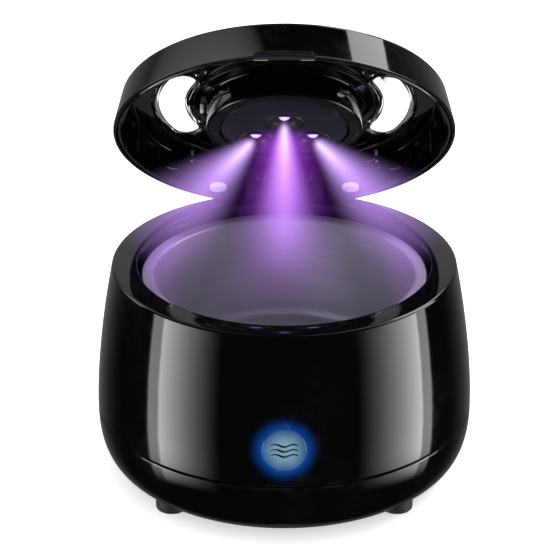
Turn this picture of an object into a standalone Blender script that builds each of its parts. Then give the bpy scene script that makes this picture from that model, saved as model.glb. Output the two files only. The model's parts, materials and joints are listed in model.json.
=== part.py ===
"""Round ultrasonic cleaner with a hinged lid, a hanging ultraviolet light head and a lit push button.

Metres, +Z up, front towards -Y, origin on the floor below the middle of the tank.
The lid and its pieces are drawn shut, and the empty on the hinge axis swings them open.
The button and its pieces are drawn on an empty whose +Z points out of the casing.
"""
import math

import bmesh
import bpy
from mathutils import Matrix, Vector

# Overall casing
RIM_Z = 0.0710
RIM_RADIUS = 0.0555
BELLY_Z = 0.02225
BELLY_RADIUS = 0.0613
SHOULDER_POWER = 1.7
CORNER_INSET = 0.0092
CORNER_POWER = 2.6
SEAM_Z = 0.0215
TONGUE_HEIGHT = 0.0030
FOOT_DROP = 0.0025
WALL = 0.0022
GAP = 0.0003

# Mouth and tank
MOUTH_RADIUS = 0.0475
MOUTH_WALL = 0.0016
LEDGE_DROP = 0.0072
LEDGE_THICKNESS = 0.0020
LIP_DROP = 0.0040
LIP_WIDTH = 0.0032
LIP_THICKNESS = 0.0013
LIP_CLEARANCE = 0.0013
TANK_SHEET = 0.0008
TANK_TAPER = 0.0016
TANK_FILLET = 0.0060
TANK_FLOOR_Z = 0.0280

# Transducer and electronics
BLOCK_RADIUS = 0.0190
BLOCK_HEIGHT = 0.0030
PIEZO_RADIUS = 0.0160
PIEZO_HEIGHT = 0.0025
BOARD_THICKNESS = 0.0016
BOARD_CLEARANCE = 0.0015
STANDOFF_INSET = 0.0070
STANDOFF_RADIUS = 0.0030
STANDOFF_HEIGHT = 0.0040
LEAD_RADIUS = 0.0008

# Feet and casing screws
FOOT_RADIUS = 0.0052
FOOT_INSET = 0.0011
FOOT_SEAT_Z = 0.0052
POST_RADIUS = 0.0030
POST_CLEARANCE = 0.0015
PILOT_RADIUS = 0.0011
SCREW_RADIUS = 0.0010
SCREW_HEAD_RADIUS = 0.0024
SCREW_HEAD_HEIGHT = 0.0015
SCREW_POCKET_DEPTH = 0.0028

# Hinge
HINGE_INSET = 0.0063
HINGE_DROP = 0.0037
KNUCKLE_RADIUS = 0.0021
KNUCKLE_HALF = 0.0132
PIN_RADIUS = 0.0010
PIN_HALF = 0.0180
SIDE_CLEARANCE = 0.0006
RECESS_MARGIN = 0.0004
OPEN_ANGLE = math.radians(48)
OPEN_LIMIT = math.radians(75)

# Lid
LID_HEIGHT = 0.0131
LID_EDGE = 0.0010
LID_CROWN = 0.0009
LID_SHEET = 0.0012
LINER_SHEET = 0.0011
LINER_DEPTH = 0.0106
LINER_STEP = 0.0006
WINDOW_INSET = 0.0023
WINDOW_OUTER = 0.0413
WINDOW_HALF_ANGLE = math.radians(27)
WINDOW_FLANGE = 0.0010
NOTCH_HALF = 0.0093
NOTCH_HEIGHT = 0.0018
PAD_RADIUS = 0.0029
PAD_ANGLE = math.radians(62.2)
PAD_INSET = 0.0019
PAD_HEIGHT = 0.0014
PAD_RAISE = 0.0004
RIB_ANGLE = math.radians(46.5)
WEB_THICKNESS = 0.0016
CATCH_HALF = 0.0104
CATCH_TAB_X = 0.0074
HINGE_SCREW_X = 0.0080
HINGE_SCREW_Z = 0.0065

# Light head
HEAD_RADIUS = 0.0253
HEAD_SHEET = 0.0016
HEAD_RAISE = 0.0016
HEAD_FLANGE_WIDTH = 0.0043
HEAD_FLANGE_THICKNESS = 0.0013
BEZEL_WIDTH = 0.0046
LENS_THICKNESS = 0.0014
FRONT_LAMP_Y = -0.0044
REAR_LAMP = (0.0093, 0.0084)
LAMP_RING_RADIUS = 0.0064
LAMP_RADIUS = 0.0022

# Button
BUTTON_Z = 0.0344
BUTTON_RADIUS = 0.0070
BUTTON_PROUD = 0.0002
BUTTON_TRAVEL = 0.0006
BUTTON_THICKNESS = 0.0032
STEM_RADIUS = 0.0015
GUIDE_MARGIN = 0.0030
GUIDE_WALL = 0.0012

# Inlet
SOCKET_Z = 0.0125
SOCKET_RADIUS = 0.0042
SOCKET_BORE = 0.0029
SOCKET_PIN = 0.0010
SOCKET_WIDTH = 0.0100
SOCKET_DEPTH = 0.0130

SEGMENTS = 48
FINE_SEGMENTS = 24
SMALL_SEGMENTS = 12

# Derived places
BASE_Z = FOOT_DROP
FLOOR_Z = BASE_Z + WALL
HINGE = Vector((0.0, RIM_RADIUS - HINGE_INSET, RIM_Z - HINGE_DROP))
RECESS_HALF = math.sqrt(RIM_RADIUS ** 2 - (HINGE.y + 0.0017) ** 2) + RECESS_MARGIN
LID_Z = RIM_Z + GAP
LEDGE_Z = RIM_Z - LEDGE_DROP
LIP_Z = RIM_Z - LIP_DROP
LIP_RADIUS = MOUTH_RADIUS - LIP_CLEARANCE
TANK_OUTER = LIP_RADIUS - LIP_WIDTH
TANK_INNER = TANK_OUTER - TANK_SHEET
POST_CIRCLE = TANK_OUTER + POST_CLEARANCE + POST_RADIUS
POST_ANGLES = [math.radians(a) for a in (22.5, 157.5, 202.5, 337.5)]
POST_FOOT_Z = FLOOR_Z + SCREW_POCKET_DEPTH
BOARD_RADIUS = POST_CIRCLE - POST_RADIUS - BOARD_CLEARANCE
STANDOFF_CIRCLE = BOARD_RADIUS - STANDOFF_INSET
FOOT_CIRCLE = BELLY_RADIUS - CORNER_INSET - FOOT_INSET
FOOT_ANGLES = [math.radians(a) for a in (45, 135, 225, 315)]
BLOCK_Z = TANK_FLOOR_Z - GAP - BLOCK_HEIGHT
PIEZO_Z = BLOCK_Z - GAP - PIEZO_HEIGHT
BOARD_Z = FLOOR_Z + STANDOFF_HEIGHT + GAP
BOARD_TOP = BOARD_Z + BOARD_THICKNESS
STANDOFF_ANGLES = [math.radians(a) for a in (90, 210, 330)]
LAMP_PLACES = [(0.0, FRONT_LAMP_Y), REAR_LAMP, (-REAR_LAMP[0], REAR_LAMP[1])]
HEAD_SCREW_ANGLES = [math.radians(a) for a in (90, 210, 330)]
HEAD_FLANGE_RADIUS = HEAD_RADIUS + HEAD_FLANGE_WIDTH
WINDOW_INNER = HEAD_FLANGE_RADIUS + WINDOW_INSET
LENS_RADIUS = HEAD_RADIUS - BEZEL_WIDTH
GUIDE_RADIUS = BUTTON_RADIUS + GUIDE_MARGIN

BLACK_GLOSS = ((0.010, 0.010, 0.011), 0.12, 0.0)
BLACK_SATIN = ((0.014, 0.014, 0.015), 0.35, 0.0)
RUBBER = ((0.012, 0.012, 0.012), 0.80, 0.0)
STEEL = ((0.62, 0.62, 0.63), 0.22, 1.0)
ALUMINIUM = ((0.70, 0.70, 0.72), 0.35, 1.0)
BRASS = ((0.72, 0.56, 0.28), 0.30, 1.0)
CERAMIC = ((0.78, 0.74, 0.64), 0.50, 0.0)
BOARD_GREEN = ((0.02, 0.16, 0.07), 0.45, 0.0)
CLEAR = ((0.92, 0.94, 0.95), 0.03, 0.0)
SMOKED = ((0.020, 0.018, 0.024), 0.10, 0.0)
LIT_BLUE = ((0.36, 0.62, 0.80), 0.30, 0.0)
LAMP_VIOLET = ((0.55, 0.35, 0.95), 0.20, 0.0)
RED_PLASTIC = ((0.55, 0.02, 0.02), 0.45, 0.0)
GREY_PLASTIC = ((0.45, 0.45, 0.46), 0.40, 0.0)
PALE_PLASTIC = ((0.72, 0.70, 0.62), 0.45, 0.0)


def clear_scene():
    """Removes whatever the scene holds."""
    for item in list(bpy.data.objects):
        bpy.data.objects.remove(item, do_unlink=True)


def outline_radius(z):
    """Outer radius of the casing at a height; above the rim it goes on as the lid's wall."""
    if z >= BELLY_Z:
        rise = (z - BELLY_Z) / (RIM_Z - BELLY_Z)
        return BELLY_RADIUS - (BELLY_RADIUS - RIM_RADIUS) * rise ** SHOULDER_POWER
    fall = min(1.0, (BELLY_Z - z) / (BELLY_Z - BASE_Z))
    return BELLY_RADIUS - CORNER_INSET * (1 - math.sqrt(1 - fall ** CORNER_POWER))


def spread(start, end, count):
    """Evenly spaced values from start to end, both included."""
    return [start + (end - start) * i / (count - 1) for i in range(count)]


def arc(centre_r, centre_z, radius, start_deg, end_deg, count):
    """Points of a round stretch in the radius and height plane."""
    angles = [math.radians(a) for a in spread(start_deg, end_deg, count)]
    return [(centre_r + radius * math.cos(a), centre_z + radius * math.sin(a)) for a in angles]


def material_for(name, look):
    colour, roughness, metallic = look
    material = bpy.data.materials.new(name)
    material.use_nodes = True
    shader = material.node_tree.nodes["Principled BSDF"]
    shader.inputs["Base Color"].default_value = (*colour, 1.0)
    shader.inputs["Roughness"].default_value = roughness
    shader.inputs["Metallic"].default_value = metallic
    return material


def finish_mesh(name, bm, look=None, smooth_angle=35):
    """Turns a bmesh into a named object, shaded smooth except over its edges."""
    bmesh.ops.remove_doubles(bm, verts=bm.verts, dist=1e-6)
    bmesh.ops.recalc_face_normals(bm, faces=bm.faces)
    mesh = bpy.data.meshes.new(name)
    bm.to_mesh(mesh)
    bm.free()
    mesh.shade_smooth()
    mesh.set_sharp_from_angle(angle=math.radians(smooth_angle))
    item = bpy.data.objects.new(name, mesh)
    bpy.context.collection.objects.link(item)
    if look:
        mesh.materials.append(material_for(name, look))
    return item


def turned(name, outline, look=None, closed=True, segments=SEGMENTS, start=0.0, sweep=math.tau):
    """Spins an outline of (radius, height) points about Z; an open outline starts and ends on the axis."""
    bm = bmesh.new()
    place = Matrix.Rotation(start, 3, "Z")
    verts = [bm.verts.new(place @ Vector((r, 0.0, z))) for r, z in outline]
    pairs = list(zip(verts, verts[1:]))
    if closed:
        pairs.append((verts[-1], verts[0]))
    edges = [bm.edges.new(pair) for pair in pairs]
    whole = sweep >= math.tau
    if not whole:
        bm.faces.new(verts)
    bmesh.ops.spin(bm, geom=verts + edges, cent=(0, 0, 0), axis=(0, 0, 1), angle=sweep,
                   steps=segments, use_merge=whole)
    if not whole:
        last = [place @ Vector((r * math.cos(sweep), r * math.sin(sweep), z)) for r, z in outline]
        bm.faces.new([bm.verts.new(point) for point in last])
    return finish_mesh(name, bm, look)


def cylinder(name, radius, low, high, centre=(0.0, 0.0), look=None, segments=FINE_SEGMENTS):
    """Upright round bar, or a piece of one when it is turned later."""
    outline = [(0.0, low), (radius, low), (radius, high), (0.0, high)]
    item = turned(name, outline, look, closed=False, segments=segments)
    item.location = (centre[0], centre[1], 0.0)
    return item


def prism(name, outline, start, end, axis="Z", look=None):
    """Extrudes a flat outline. Its two numbers run along the other two axes, in X, Y, Z order."""
    order = {"X": (2, 0, 1), "Y": (0, 2, 1), "Z": (0, 1, 2)}[axis]
    bm = bmesh.new()
    points = [(a, b, start) for a, b in outline]
    verts = [bm.verts.new([point[i] for i in order]) for point in points]
    face = bm.faces.new(verts)
    grown = bmesh.ops.extrude_face_region(bm, geom=[face])["geom"]
    shift = Vector([(0.0, 0.0, end - start)[i] for i in order])
    moved = [v for v in grown if isinstance(v, bmesh.types.BMVert)]
    bmesh.ops.translate(bm, verts=moved, vec=shift)
    return finish_mesh(name, bm, look)


def block(name, low, high, look=None):
    """Box between two corners."""
    outline = [(low[0], low[1]), (high[0], low[1]), (high[0], high[1]), (low[0], high[1])]
    return prism(name, outline, low[2], high[2], "Z", look)


def lofted(name, rings, look=None):
    """Closed piece through rings of equal point counts, capped at both ends."""
    bm = bmesh.new()
    layers = [[bm.verts.new(point) for point in ring] for ring in rings]
    for below, above in zip(layers, layers[1:]):
        for i in range(len(below)):
            j = (i + 1) % len(below)
            bm.faces.new((below[i], below[j], above[j], above[i]))
    bm.faces.new(layers[0])
    bm.faces.new(layers[-1])
    return finish_mesh(name, bm, look)


def combine(item, other, operation):
    """Live Boolean against a helper that stays out of the model."""
    other.hide_render = True
    other.display_type = "WIRE"
    modifier = item.modifiers.new(other.name, "BOOLEAN")
    modifier.operation = operation
    modifier.solver = "EXACT"
    modifier.object = other


def cut(item, *others):
    for other in others:
        combine(item, other, "DIFFERENCE")


def join(item, *others):
    for other in others:
        combine(item, other, "UNION")


def gather(name, *helpers):
    """Puts helpers that don't touch each other into one mesh, so that one Boolean uses them all."""
    bm = bmesh.new()
    for helper in helpers:
        part = helper.data.copy()
        part.transform(helper.matrix_basis)
        bm.from_mesh(part)
        bpy.data.objects.remove(helper, do_unlink=True)
    return finish_mesh(name, bm)


def empty_at(name, location, tilt=0.0):
    axis = bpy.data.objects.new(name, None)
    axis.location = location
    axis.rotation_euler = (tilt, 0.0, 0.0)
    bpy.context.collection.objects.link(axis)
    return axis


def around(circle, angle):
    return (circle * math.cos(angle), circle * math.sin(angle))


def make_body_shell():
    """Upper casing: bulging wall, flat annulus, mouth wall and the ledge that carries the tank."""
    bevel = 0.0005
    low = SEAM_Z + GAP / 2
    outer = [(outline_radius(z), z) for z in spread(low, RIM_Z - bevel, 9)]
    top_in = RIM_Z - WALL
    inner = [(outline_radius(z) - WALL, z) for z in spread(top_in, SEAM_Z + TONGUE_HEIGHT, 4) + [low]]
    mouth_back = MOUTH_RADIUS + MOUTH_WALL
    under = LEDGE_Z - LEDGE_THICKNESS
    hole = TANK_OUTER + 0.0004
    outline = outer + [(RIM_RADIUS - bevel, RIM_Z), (MOUTH_RADIUS + bevel, RIM_Z),
                       (MOUTH_RADIUS, RIM_Z - bevel), (MOUTH_RADIUS, LEDGE_Z), (hole, LEDGE_Z),
                       (hole, under), (mouth_back, under), (mouth_back, top_in)] + inner
    shell = turned("body_shell", outline, BLACK_GLOSS)
    shelf_low = RIM_Z - 0.0122
    sides = [(outline_radius(z) - WALL / 2, z) for z in spread(shelf_low, RIM_Z - WALL / 2, 4)]
    shelf_in = MOUTH_RADIUS + MOUTH_WALL / 2
    shelf_outline = [(shelf_in, shelf_low)] + sides + [(shelf_in, RIM_Z - WALL / 2)]
    half = math.radians(30)
    shelf = turned("hinge_shelf", shelf_outline, segments=8, start=math.pi / 2 - half, sweep=2 * half)
    places = [around(POST_CIRCLE, angle) for angle in POST_ANGLES]
    posts = [screw_post(f"post_{i}", place, POST_FOOT_Z + GAP, under + LEDGE_THICKNESS / 2)
             for i, place in enumerate(places)]
    join(shell, gather("shelf_and_posts", shelf, *posts))
    cut(shell, lid_recess(), knuckle_pocket(), pin_bore(), button_hole())
    return shell


def screw_post(name, place, low, high):
    """Round post with a blind pilot hole in its foot."""
    depth = low + 0.0090
    outline = [(0.0, depth), (PILOT_RADIUS, depth), (PILOT_RADIUS, low), (POST_RADIUS, low),
               (POST_RADIUS, high), (0.0, high)]
    post = turned(name, outline, closed=False, segments=SMALL_SEGMENTS)
    post.location = (*place, 0.0)
    return post


def opened(y, z, angle):
    """A point of the shut lid after it has swung open by an angle."""
    dy, dz = y - HINGE.y, z - HINGE.z
    turned_y = dy * math.cos(angle) + dz * math.sin(angle)
    turned_z = -dy * math.sin(angle) + dz * math.cos(angle)
    return HINGE.y + turned_y, HINGE.z + turned_z


def lid_recess():
    """Scoop at the back of the rim, where the lid's rear edge dips as it opens."""
    front = HINGE.y + 0.0010
    corner = Vector(opened(RIM_RADIUS, LID_Z, OPEN_LIMIT))
    crest = Vector(opened(outline_radius(LID_Z + LID_HEIGHT), LID_Z + LID_HEIGHT, OPEN_LIMIT))
    slope = (crest - corner).normalized()
    heel = corner + Vector((0.0006, -0.0009))
    beyond = heel + slope * 0.020
    outline = [(front, RIM_Z + 0.010), (front, HINGE.z - 0.0033), (corner.x - 0.0013, corner.y - 0.0012),
               tuple(heel), tuple(beyond), (beyond.x, RIM_Z + 0.010)]
    return prism("lid_recess", outline, -RECESS_HALF, RECESS_HALF, "X")


def knuckle_pocket():
    """Slot in the rear annulus in which the knuckle turns."""
    half = KNUCKLE_HALF + SIDE_CLEARANCE
    front = HINGE.y - KNUCKLE_RADIUS - 0.0005
    floor = HINGE.z - KNUCKLE_RADIUS - GAP
    return block("knuckle_pocket", (-half, front, floor), (half, HINGE.y + 0.0020, RIM_Z + 0.010))


def sideways_bar(name, radius, half, look=None, segments=SMALL_SEGMENTS):
    """Round bar along the hinge axis."""
    bar = cylinder(name, radius, -half, half, look=look, segments=segments)
    bar.rotation_euler = (0.0, math.pi / 2, 0.0)
    bar.location = HINGE
    return bar


def pin_bore():
    return sideways_bar("pin_bore", PIN_RADIUS + 0.0003, PIN_HALF + GAP)


def make_base_shell():
    """Lower casing with its rounded corner, screw bosses, board standoffs and seats for the feet."""
    top = SEAM_Z - GAP / 2
    tongue_top = SEAM_Z + TONGUE_HEIGHT
    tongue_out = outline_radius(tongue_top) - WALL - GAP
    tongue_in = tongue_out - 0.0010
    corner = [(outline_radius(z), z) for z in
              [BASE_Z + (top - BASE_Z) * (1 - math.cos(a)) for a in spread(0.0, math.pi / 2, 7)]]
    inner_top = SEAM_Z - 0.0030
    inner = [(outline_radius(z) - WALL, z) for z in spread(inner_top, FLOOR_Z + 0.0010, 4)]
    outline = [(0.0, BASE_Z)] + corner + [(tongue_out, top), (tongue_out, tongue_top),
                                          (tongue_in, tongue_top),
                                          (tongue_in, inner_top)] + inner[1:]
    outline += [(inner[-1][0] - 0.0015, FLOOR_Z), (0.0, FLOOR_Z)]
    shell = turned("base_shell", outline, BLACK_GLOSS, closed=False)
    joined, holes = [], []
    for i, angle in enumerate(FOOT_ANGLES):
        joined.append(cylinder(f"foot_boss_{i}", FOOT_RADIUS + 0.0006, FLOOR_Z - 0.0004, FOOT_SEAT_Z + 0.0015,
                               around(FOOT_CIRCLE - 0.0012, angle)))
        holes.append(cylinder(f"foot_seat_{i}", FOOT_RADIUS + GAP, -0.001, FOOT_SEAT_Z,
                              around(FOOT_CIRCLE, angle)))
    for i, angle in enumerate(POST_ANGLES):
        place = around(POST_CIRCLE, angle)
        joined.append(cylinder(f"boss_{i}", SCREW_HEAD_RADIUS + 0.0018, BASE_Z + WALL / 2, POST_FOOT_Z, place,
                               segments=SMALL_SEGMENTS))
        pocket, hole = SCREW_HEAD_RADIUS + 0.0005, SCREW_RADIUS + 0.0004
        step = BASE_Z + SCREW_POCKET_DEPTH
        bored = turned(f"screw_hole_{i}", [(0.0, -0.001), (pocket, -0.001), (pocket, step), (hole, step),
                                           (hole, POST_FOOT_Z + 0.001), (0.0, POST_FOOT_Z + 0.001)],
                       closed=False, segments=SMALL_SEGMENTS)
        bored.location = (*place, 0.0)
        holes.append(bored)
    for i, angle in enumerate(STANDOFF_ANGLES):
        place = around(STANDOFF_CIRCLE, angle)
        joined.append(cylinder(f"standoff_{i}", STANDOFF_RADIUS, BASE_Z + WALL / 2, FLOOR_Z + STANDOFF_HEIGHT,
                               place, segments=SMALL_SEGMENTS))
        holes.append(cylinder(f"standoff_pilot_{i}", PILOT_RADIUS, FLOOR_Z, FLOOR_Z + STANDOFF_HEIGHT + 0.001,
                              place, segments=SMALL_SEGMENTS))
    join(shell, gather("bosses", *joined))
    cut(shell, gather("base_holes", socket_hole(), *holes))
    return shell


def make_feet():
    for i, angle in enumerate(FOOT_ANGLES):
        top = FOOT_SEAT_Z - GAP
        outline = [(0.0, 0.0), (FOOT_RADIUS - 0.0006, 0.0), (FOOT_RADIUS, 0.0006), (FOOT_RADIUS, top),
                   (0.0, top)]
        foot = turned(f"foot_{i + 1}", outline, RUBBER, closed=False, segments=FINE_SEGMENTS)
        foot.location = (*around(FOOT_CIRCLE, angle), 0.0)


def make_screw(name, location, length, axis="UP", head_radius=SCREW_HEAD_RADIUS, parent=None):
    """Pan-head screw with a crossed slot; its head's outer face lies at the location."""
    head = SCREW_HEAD_HEIGHT
    outline = [(0.0, 0.0), (head_radius - 0.0005, 0.0), (head_radius, 0.0005), (head_radius, head),
               (SCREW_RADIUS, head), (SCREW_RADIUS, length), (0.0, length + 0.0006)]
    screw = turned(name, outline, STEEL, closed=False, segments=SMALL_SEGMENTS)
    cross = block(f"{name}_slot", (-0.0014, -0.00025, -0.001), (0.0014, 0.00025, 0.0007))
    cross.parent = screw
    cut(screw, cross)
    turn = {"UP": (0.0, 0.0, 0.0), "DOWN": (math.pi, 0.0, 0.0), "BACK": (-math.pi / 2, 0.0, 0.0)}[axis]
    screw.rotation_euler = turn
    screw.location = location
    return screw


def make_case_screws():
    head_z = BASE_Z + SCREW_POCKET_DEPTH - GAP - SCREW_HEAD_HEIGHT
    for i, angle in enumerate(POST_ANGLES):
        make_screw(f"case_screw_{i + 1}", (*around(POST_CIRCLE, angle), head_z), 0.0100)


def make_tank():
    """Deep-drawn steel tank hung by its rolled lip, with its gasket on the ledge."""
    under = LIP_Z - LIP_THICKNESS
    floor_top = TANK_FLOOR_Z + TANK_SHEET
    bottom_out = TANK_OUTER - TANK_TAPER
    bottom_in = bottom_out - TANK_SHEET
    fillet_out = TANK_FILLET + TANK_SHEET
    outside = arc(bottom_out - fillet_out, TANK_FLOOR_Z + fillet_out, fillet_out, -90, 0, 5)
    inside = arc(bottom_in - TANK_FILLET, floor_top + TANK_FILLET, TANK_FILLET, 0, -90, 5)
    lip = [(TANK_OUTER, under - 0.0006), (TANK_OUTER + 0.0006, under), (LIP_RADIUS - 0.0003, under),
           (LIP_RADIUS, under + 0.0004), (LIP_RADIUS - 0.0002, LIP_Z - 0.0004), (LIP_RADIUS - 0.0009, LIP_Z),
           (LIP_RADIUS - 0.0022, LIP_Z), (TANK_INNER + 0.0006, LIP_Z - 0.0005), (TANK_INNER, LIP_Z - 0.0018)]
    outline = [(0.0, TANK_FLOOR_Z)] + outside + lip + inside + [(0.0, floor_top)]
    turned("tank", outline, STEEL, closed=False)
    low, high = LEDGE_Z + GAP, under - GAP
    gasket_in, gasket_out = TANK_OUTER + 0.0008, LIP_RADIUS - 0.0002
    ring = [(gasket_in, low), (gasket_out, low), (gasket_out, high), (gasket_in, high)]
    turned("tank_gasket", ring, RUBBER)


def make_transducer():
    cylinder("transducer_block", BLOCK_RADIUS, BLOCK_Z, BLOCK_Z + BLOCK_HEIGHT, look=ALUMINIUM, segments=32)
    cylinder("piezo_disc", PIEZO_RADIUS, PIEZO_Z, PIEZO_Z + PIEZO_HEIGHT, look=CERAMIC, segments=32)
    high = PIEZO_Z - GAP
    low = BOARD_TOP + GAP
    make_lead("lead_red", RED_PLASTIC, (0.0100, 0.0040), (0.0260, 0.0120), high, low)
    make_lead("lead_black", BLACK_SATIN, (0.0060, -0.0060), (0.0240, -0.0040), high, low)


def make_lead(name, look, start, end, high, low):
    """Soldered lead: straight down from the disc, across, and straight down into the board."""
    curve = bpy.data.curves.new(name, "CURVE")
    curve.dimensions = "3D"
    curve.bevel_depth = LEAD_RADIUS
    curve.bevel_resolution = 2
    curve.use_fill_caps = True
    spline = curve.splines.new("POLY")
    steps = 14
    spline.points.add(steps)
    for i in range(steps + 1):
        t = i / steps
        across = t * t * (3 - 2 * t)
        x = start[0] + (end[0] - start[0]) * across
        y = start[1] + (end[1] - start[1]) * across
        spline.points[i].co = (x, y, high + (low - high) * t, 1.0)
    item = bpy.data.objects.new(name, curve)
    curve.materials.append(material_for(name, look))
    bpy.context.collection.objects.link(item)


def make_driver_board():
    """Round board on three standoffs, with the parts that drive the transducer."""
    flat = BOARD_RADIUS * 0.80
    rim = [around(BOARD_RADIUS, a) for a in spread(0.0, math.tau, SEGMENTS + 1)[:-1]]
    outline = [(x, max(-flat, y)) for x, y in rim]
    board = prism("driver_board", outline, BOARD_Z, BOARD_TOP, "Z", BOARD_GREEN)
    holes = []
    for i, angle in enumerate(STANDOFF_ANGLES):
        place = around(STANDOFF_CIRCLE, angle)
        holes.append(cylinder(f"board_hole_{i}", SCREW_RADIUS + 0.0004, 0.0, BOARD_TOP + 0.001, place,
                              segments=SMALL_SEGMENTS))
        top = BOARD_TOP + GAP + SCREW_HEAD_HEIGHT
        make_screw(f"board_screw_{i + 1}", (*place, top), SCREW_HEAD_HEIGHT + 0.0042, "DOWN")
    cut(board, gather("board_holes", *holes))
    base = BOARD_TOP + GAP
    winding = block("transformer", (-0.0300, -0.0080, base), (-0.0200, 0.0080, base + 0.0090), PALE_PLASTIC)
    core_low, core_high = (-0.0330, -0.0060, base + 0.0020), (-0.0170, 0.0060, base + 0.0070)
    join(winding, block("transformer_core", core_low, core_high))
    ring = [(0.0035, base), (0.0068, base), (0.0068, base + 0.0055), (0.0035, base + 0.0055)]
    turned("choke", ring, BRASS, segments=24).location = (-0.0040, -0.0260, 0.0)
    cylinder("capacitor_1", 0.0040, base, base + 0.0088, (0.0180, -0.0250), BLACK_SATIN, 24)
    cylinder("capacitor_2", 0.0032, base, base + 0.0080, (0.0080, -0.0290), BLACK_SATIN, 24)
    sink = block("heat_sink", (-0.0200, 0.0200, base), (-0.0040, 0.0220, base + 0.0090), ALUMINIUM)
    lefts = [-0.0190 + i * 0.0040 for i in range(4)]
    fins = [block(f"fin_{i}", (left, 0.0210, base + 0.0004), (left + 0.0010, 0.0260, base + 0.0086))
            for i, left in enumerate(lefts)]
    join(sink, gather("fins", *fins))
    block("drive_transistor", (-0.0160, 0.0172, base), (-0.0080, 0.0197, base + 0.0080), BLACK_SATIN)


def make_hinge_pin():
    sideways_bar("hinge_pin", PIN_RADIUS, PIN_HALF, STEEL)


def socket_hole():
    hole = cylinder("socket_hole", SOCKET_RADIUS + GAP, -0.0100, 0.0100)
    hole.rotation_euler = (math.pi / 2, 0.0, 0.0)
    hole.location = (0.0, outline_radius(SOCKET_Z), SOCKET_Z)
    return hole


def make_power_socket():
    """Round low-voltage inlet behind the casing: collar in the wall, body inside."""
    half = SOCKET_WIDTH / 2
    face = outline_radius(SOCKET_Z) - 0.0008
    back = math.sqrt((outline_radius(SOCKET_Z - half) - WALL) ** 2 - half ** 2) - GAP
    body = block("power_socket", (-half, back - SOCKET_DEPTH, SOCKET_Z - half),
                 (half, back, SOCKET_Z + half), BLACK_SATIN)
    hollow = cylinder("socket_hollow", SOCKET_RADIUS - 0.0004, -0.0070, 0.0010)
    depth = face - back
    sleeve = [(0.0, -0.0076), (SOCKET_RADIUS, -0.0076), (SOCKET_RADIUS, depth), (SOCKET_BORE, depth),
              (SOCKET_BORE, -0.0062), (SOCKET_PIN, -0.0062), (SOCKET_PIN, depth - 0.0012),
               (0.0, depth - 0.0012)]
    collar = turned("socket_collar", sleeve, closed=False, segments=FINE_SEGMENTS)
    for item in (hollow, collar):
        item.rotation_euler = (-math.pi / 2, 0.0, 0.0)
        item.location = (0.0, back, SOCKET_Z)
    cut(body, hollow)
    join(body, collar)


def button_axis():
    """Empty at the middle of the button, +Z out of the casing."""
    step = 0.0005
    slope = (outline_radius(BUTTON_Z - step) - outline_radius(BUTTON_Z + step)) / (2 * step)
    tilt = math.atan(slope)
    return empty_at("button_axis", (0.0, -outline_radius(BUTTON_Z), BUTTON_Z), math.pi / 2 - tilt)


def on_button(item):
    item.parent = bpy.data.objects["button_axis"]
    return item


def button_hole():
    return on_button(cylinder("button_hole", BUTTON_RADIUS + GAP, -0.0080, 0.0100, segments=48))


def make_button():
    """Push button with a retaining flange and stem, its guide, switch and board."""
    back = BUTTON_PROUD - BUTTON_THICKNESS
    flange_front = -WALL - 0.0012
    flange_back = flange_front - 0.0010
    stem_end = flange_back - 0.0026
    outline = [(0.0, stem_end), (STEM_RADIUS, stem_end), (STEM_RADIUS, flange_back),
               (BUTTON_RADIUS + 0.0008, flange_back), (BUTTON_RADIUS + 0.0008, flange_front),
               (BUTTON_RADIUS, flange_front), (BUTTON_RADIUS, BUTTON_PROUD - 0.0004),
               (BUTTON_RADIUS - 0.0004, BUTTON_PROUD), (0.0, BUTTON_PROUD)]
    on_button(turned("power_button", outline, LIT_BLUE, closed=False, segments=48))
    plunger_end = stem_end - GAP - 0.0017
    switch_front = plunger_end + 0.0008
    switch_back = switch_front - 0.0036
    on_button(cylinder("switch_plunger", 0.0016, plunger_end, stem_end - GAP, look=PALE_PLASTIC,
                       segments=SMALL_SEGMENTS))
    half = 0.0031
    switch_low, switch_high = (-half, -half, switch_back), (half, half, switch_front)
    switch = on_button(block("tact_switch", switch_low, switch_high, GREY_PLASTIC))
    bore_end = plunger_end - BUTTON_TRAVEL - 0.0004
    cut(switch, on_button(cylinder("switch_bore", 0.0020, bore_end, switch_front + 0.001,
                                   segments=SMALL_SEGMENTS)))
    board_front = switch_back - GAP
    board_back = board_front - BOARD_THICKNESS
    width, height = GUIDE_RADIUS + 0.0010, GUIDE_RADIUS + 0.0005
    board_low, board_high = (-width, -height, board_back), (width, height, board_front)
    on_button(block("control_board", board_low, board_high, BOARD_GREEN))
    guide_front = back - 0.0016
    ring = [(GUIDE_RADIUS - GUIDE_WALL, board_front + GAP), (GUIDE_RADIUS, board_front + GAP),
            (GUIDE_RADIUS, guide_front), (GUIDE_RADIUS - GUIDE_WALL, guide_front)]
    on_button(turned("button_guide", ring, PALE_PLASTIC, segments=48))
    lamp_z = board_front + GAP
    on_button(block("button_lamp", (0.0045, -0.0015, lamp_z), (0.0063, 0.0015, lamp_z + 0.0010), LIT_BLUE))


def lid_radius(z):
    return outline_radius(LID_Z + z)


def on_lid(item):
    """Ties a piece drawn in the shut position to the hinge axis."""
    item.parent = bpy.data.objects["lid_axis"]
    item.matrix_parent_inverse = Matrix.Translation(-HINGE)
    return item


def liner_inside(z):
    """Inner radius of the liner above its stepped foot."""
    return lid_radius(z) - LID_SHEET - GAP - LINER_SHEET - LINER_STEP


def crowned(z, radius):
    """Height of a lid surface, which rises a little towards its middle."""
    return LID_Z + z + LID_CROWN * (1 - (radius / RIM_RADIUS) ** 2)


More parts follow.
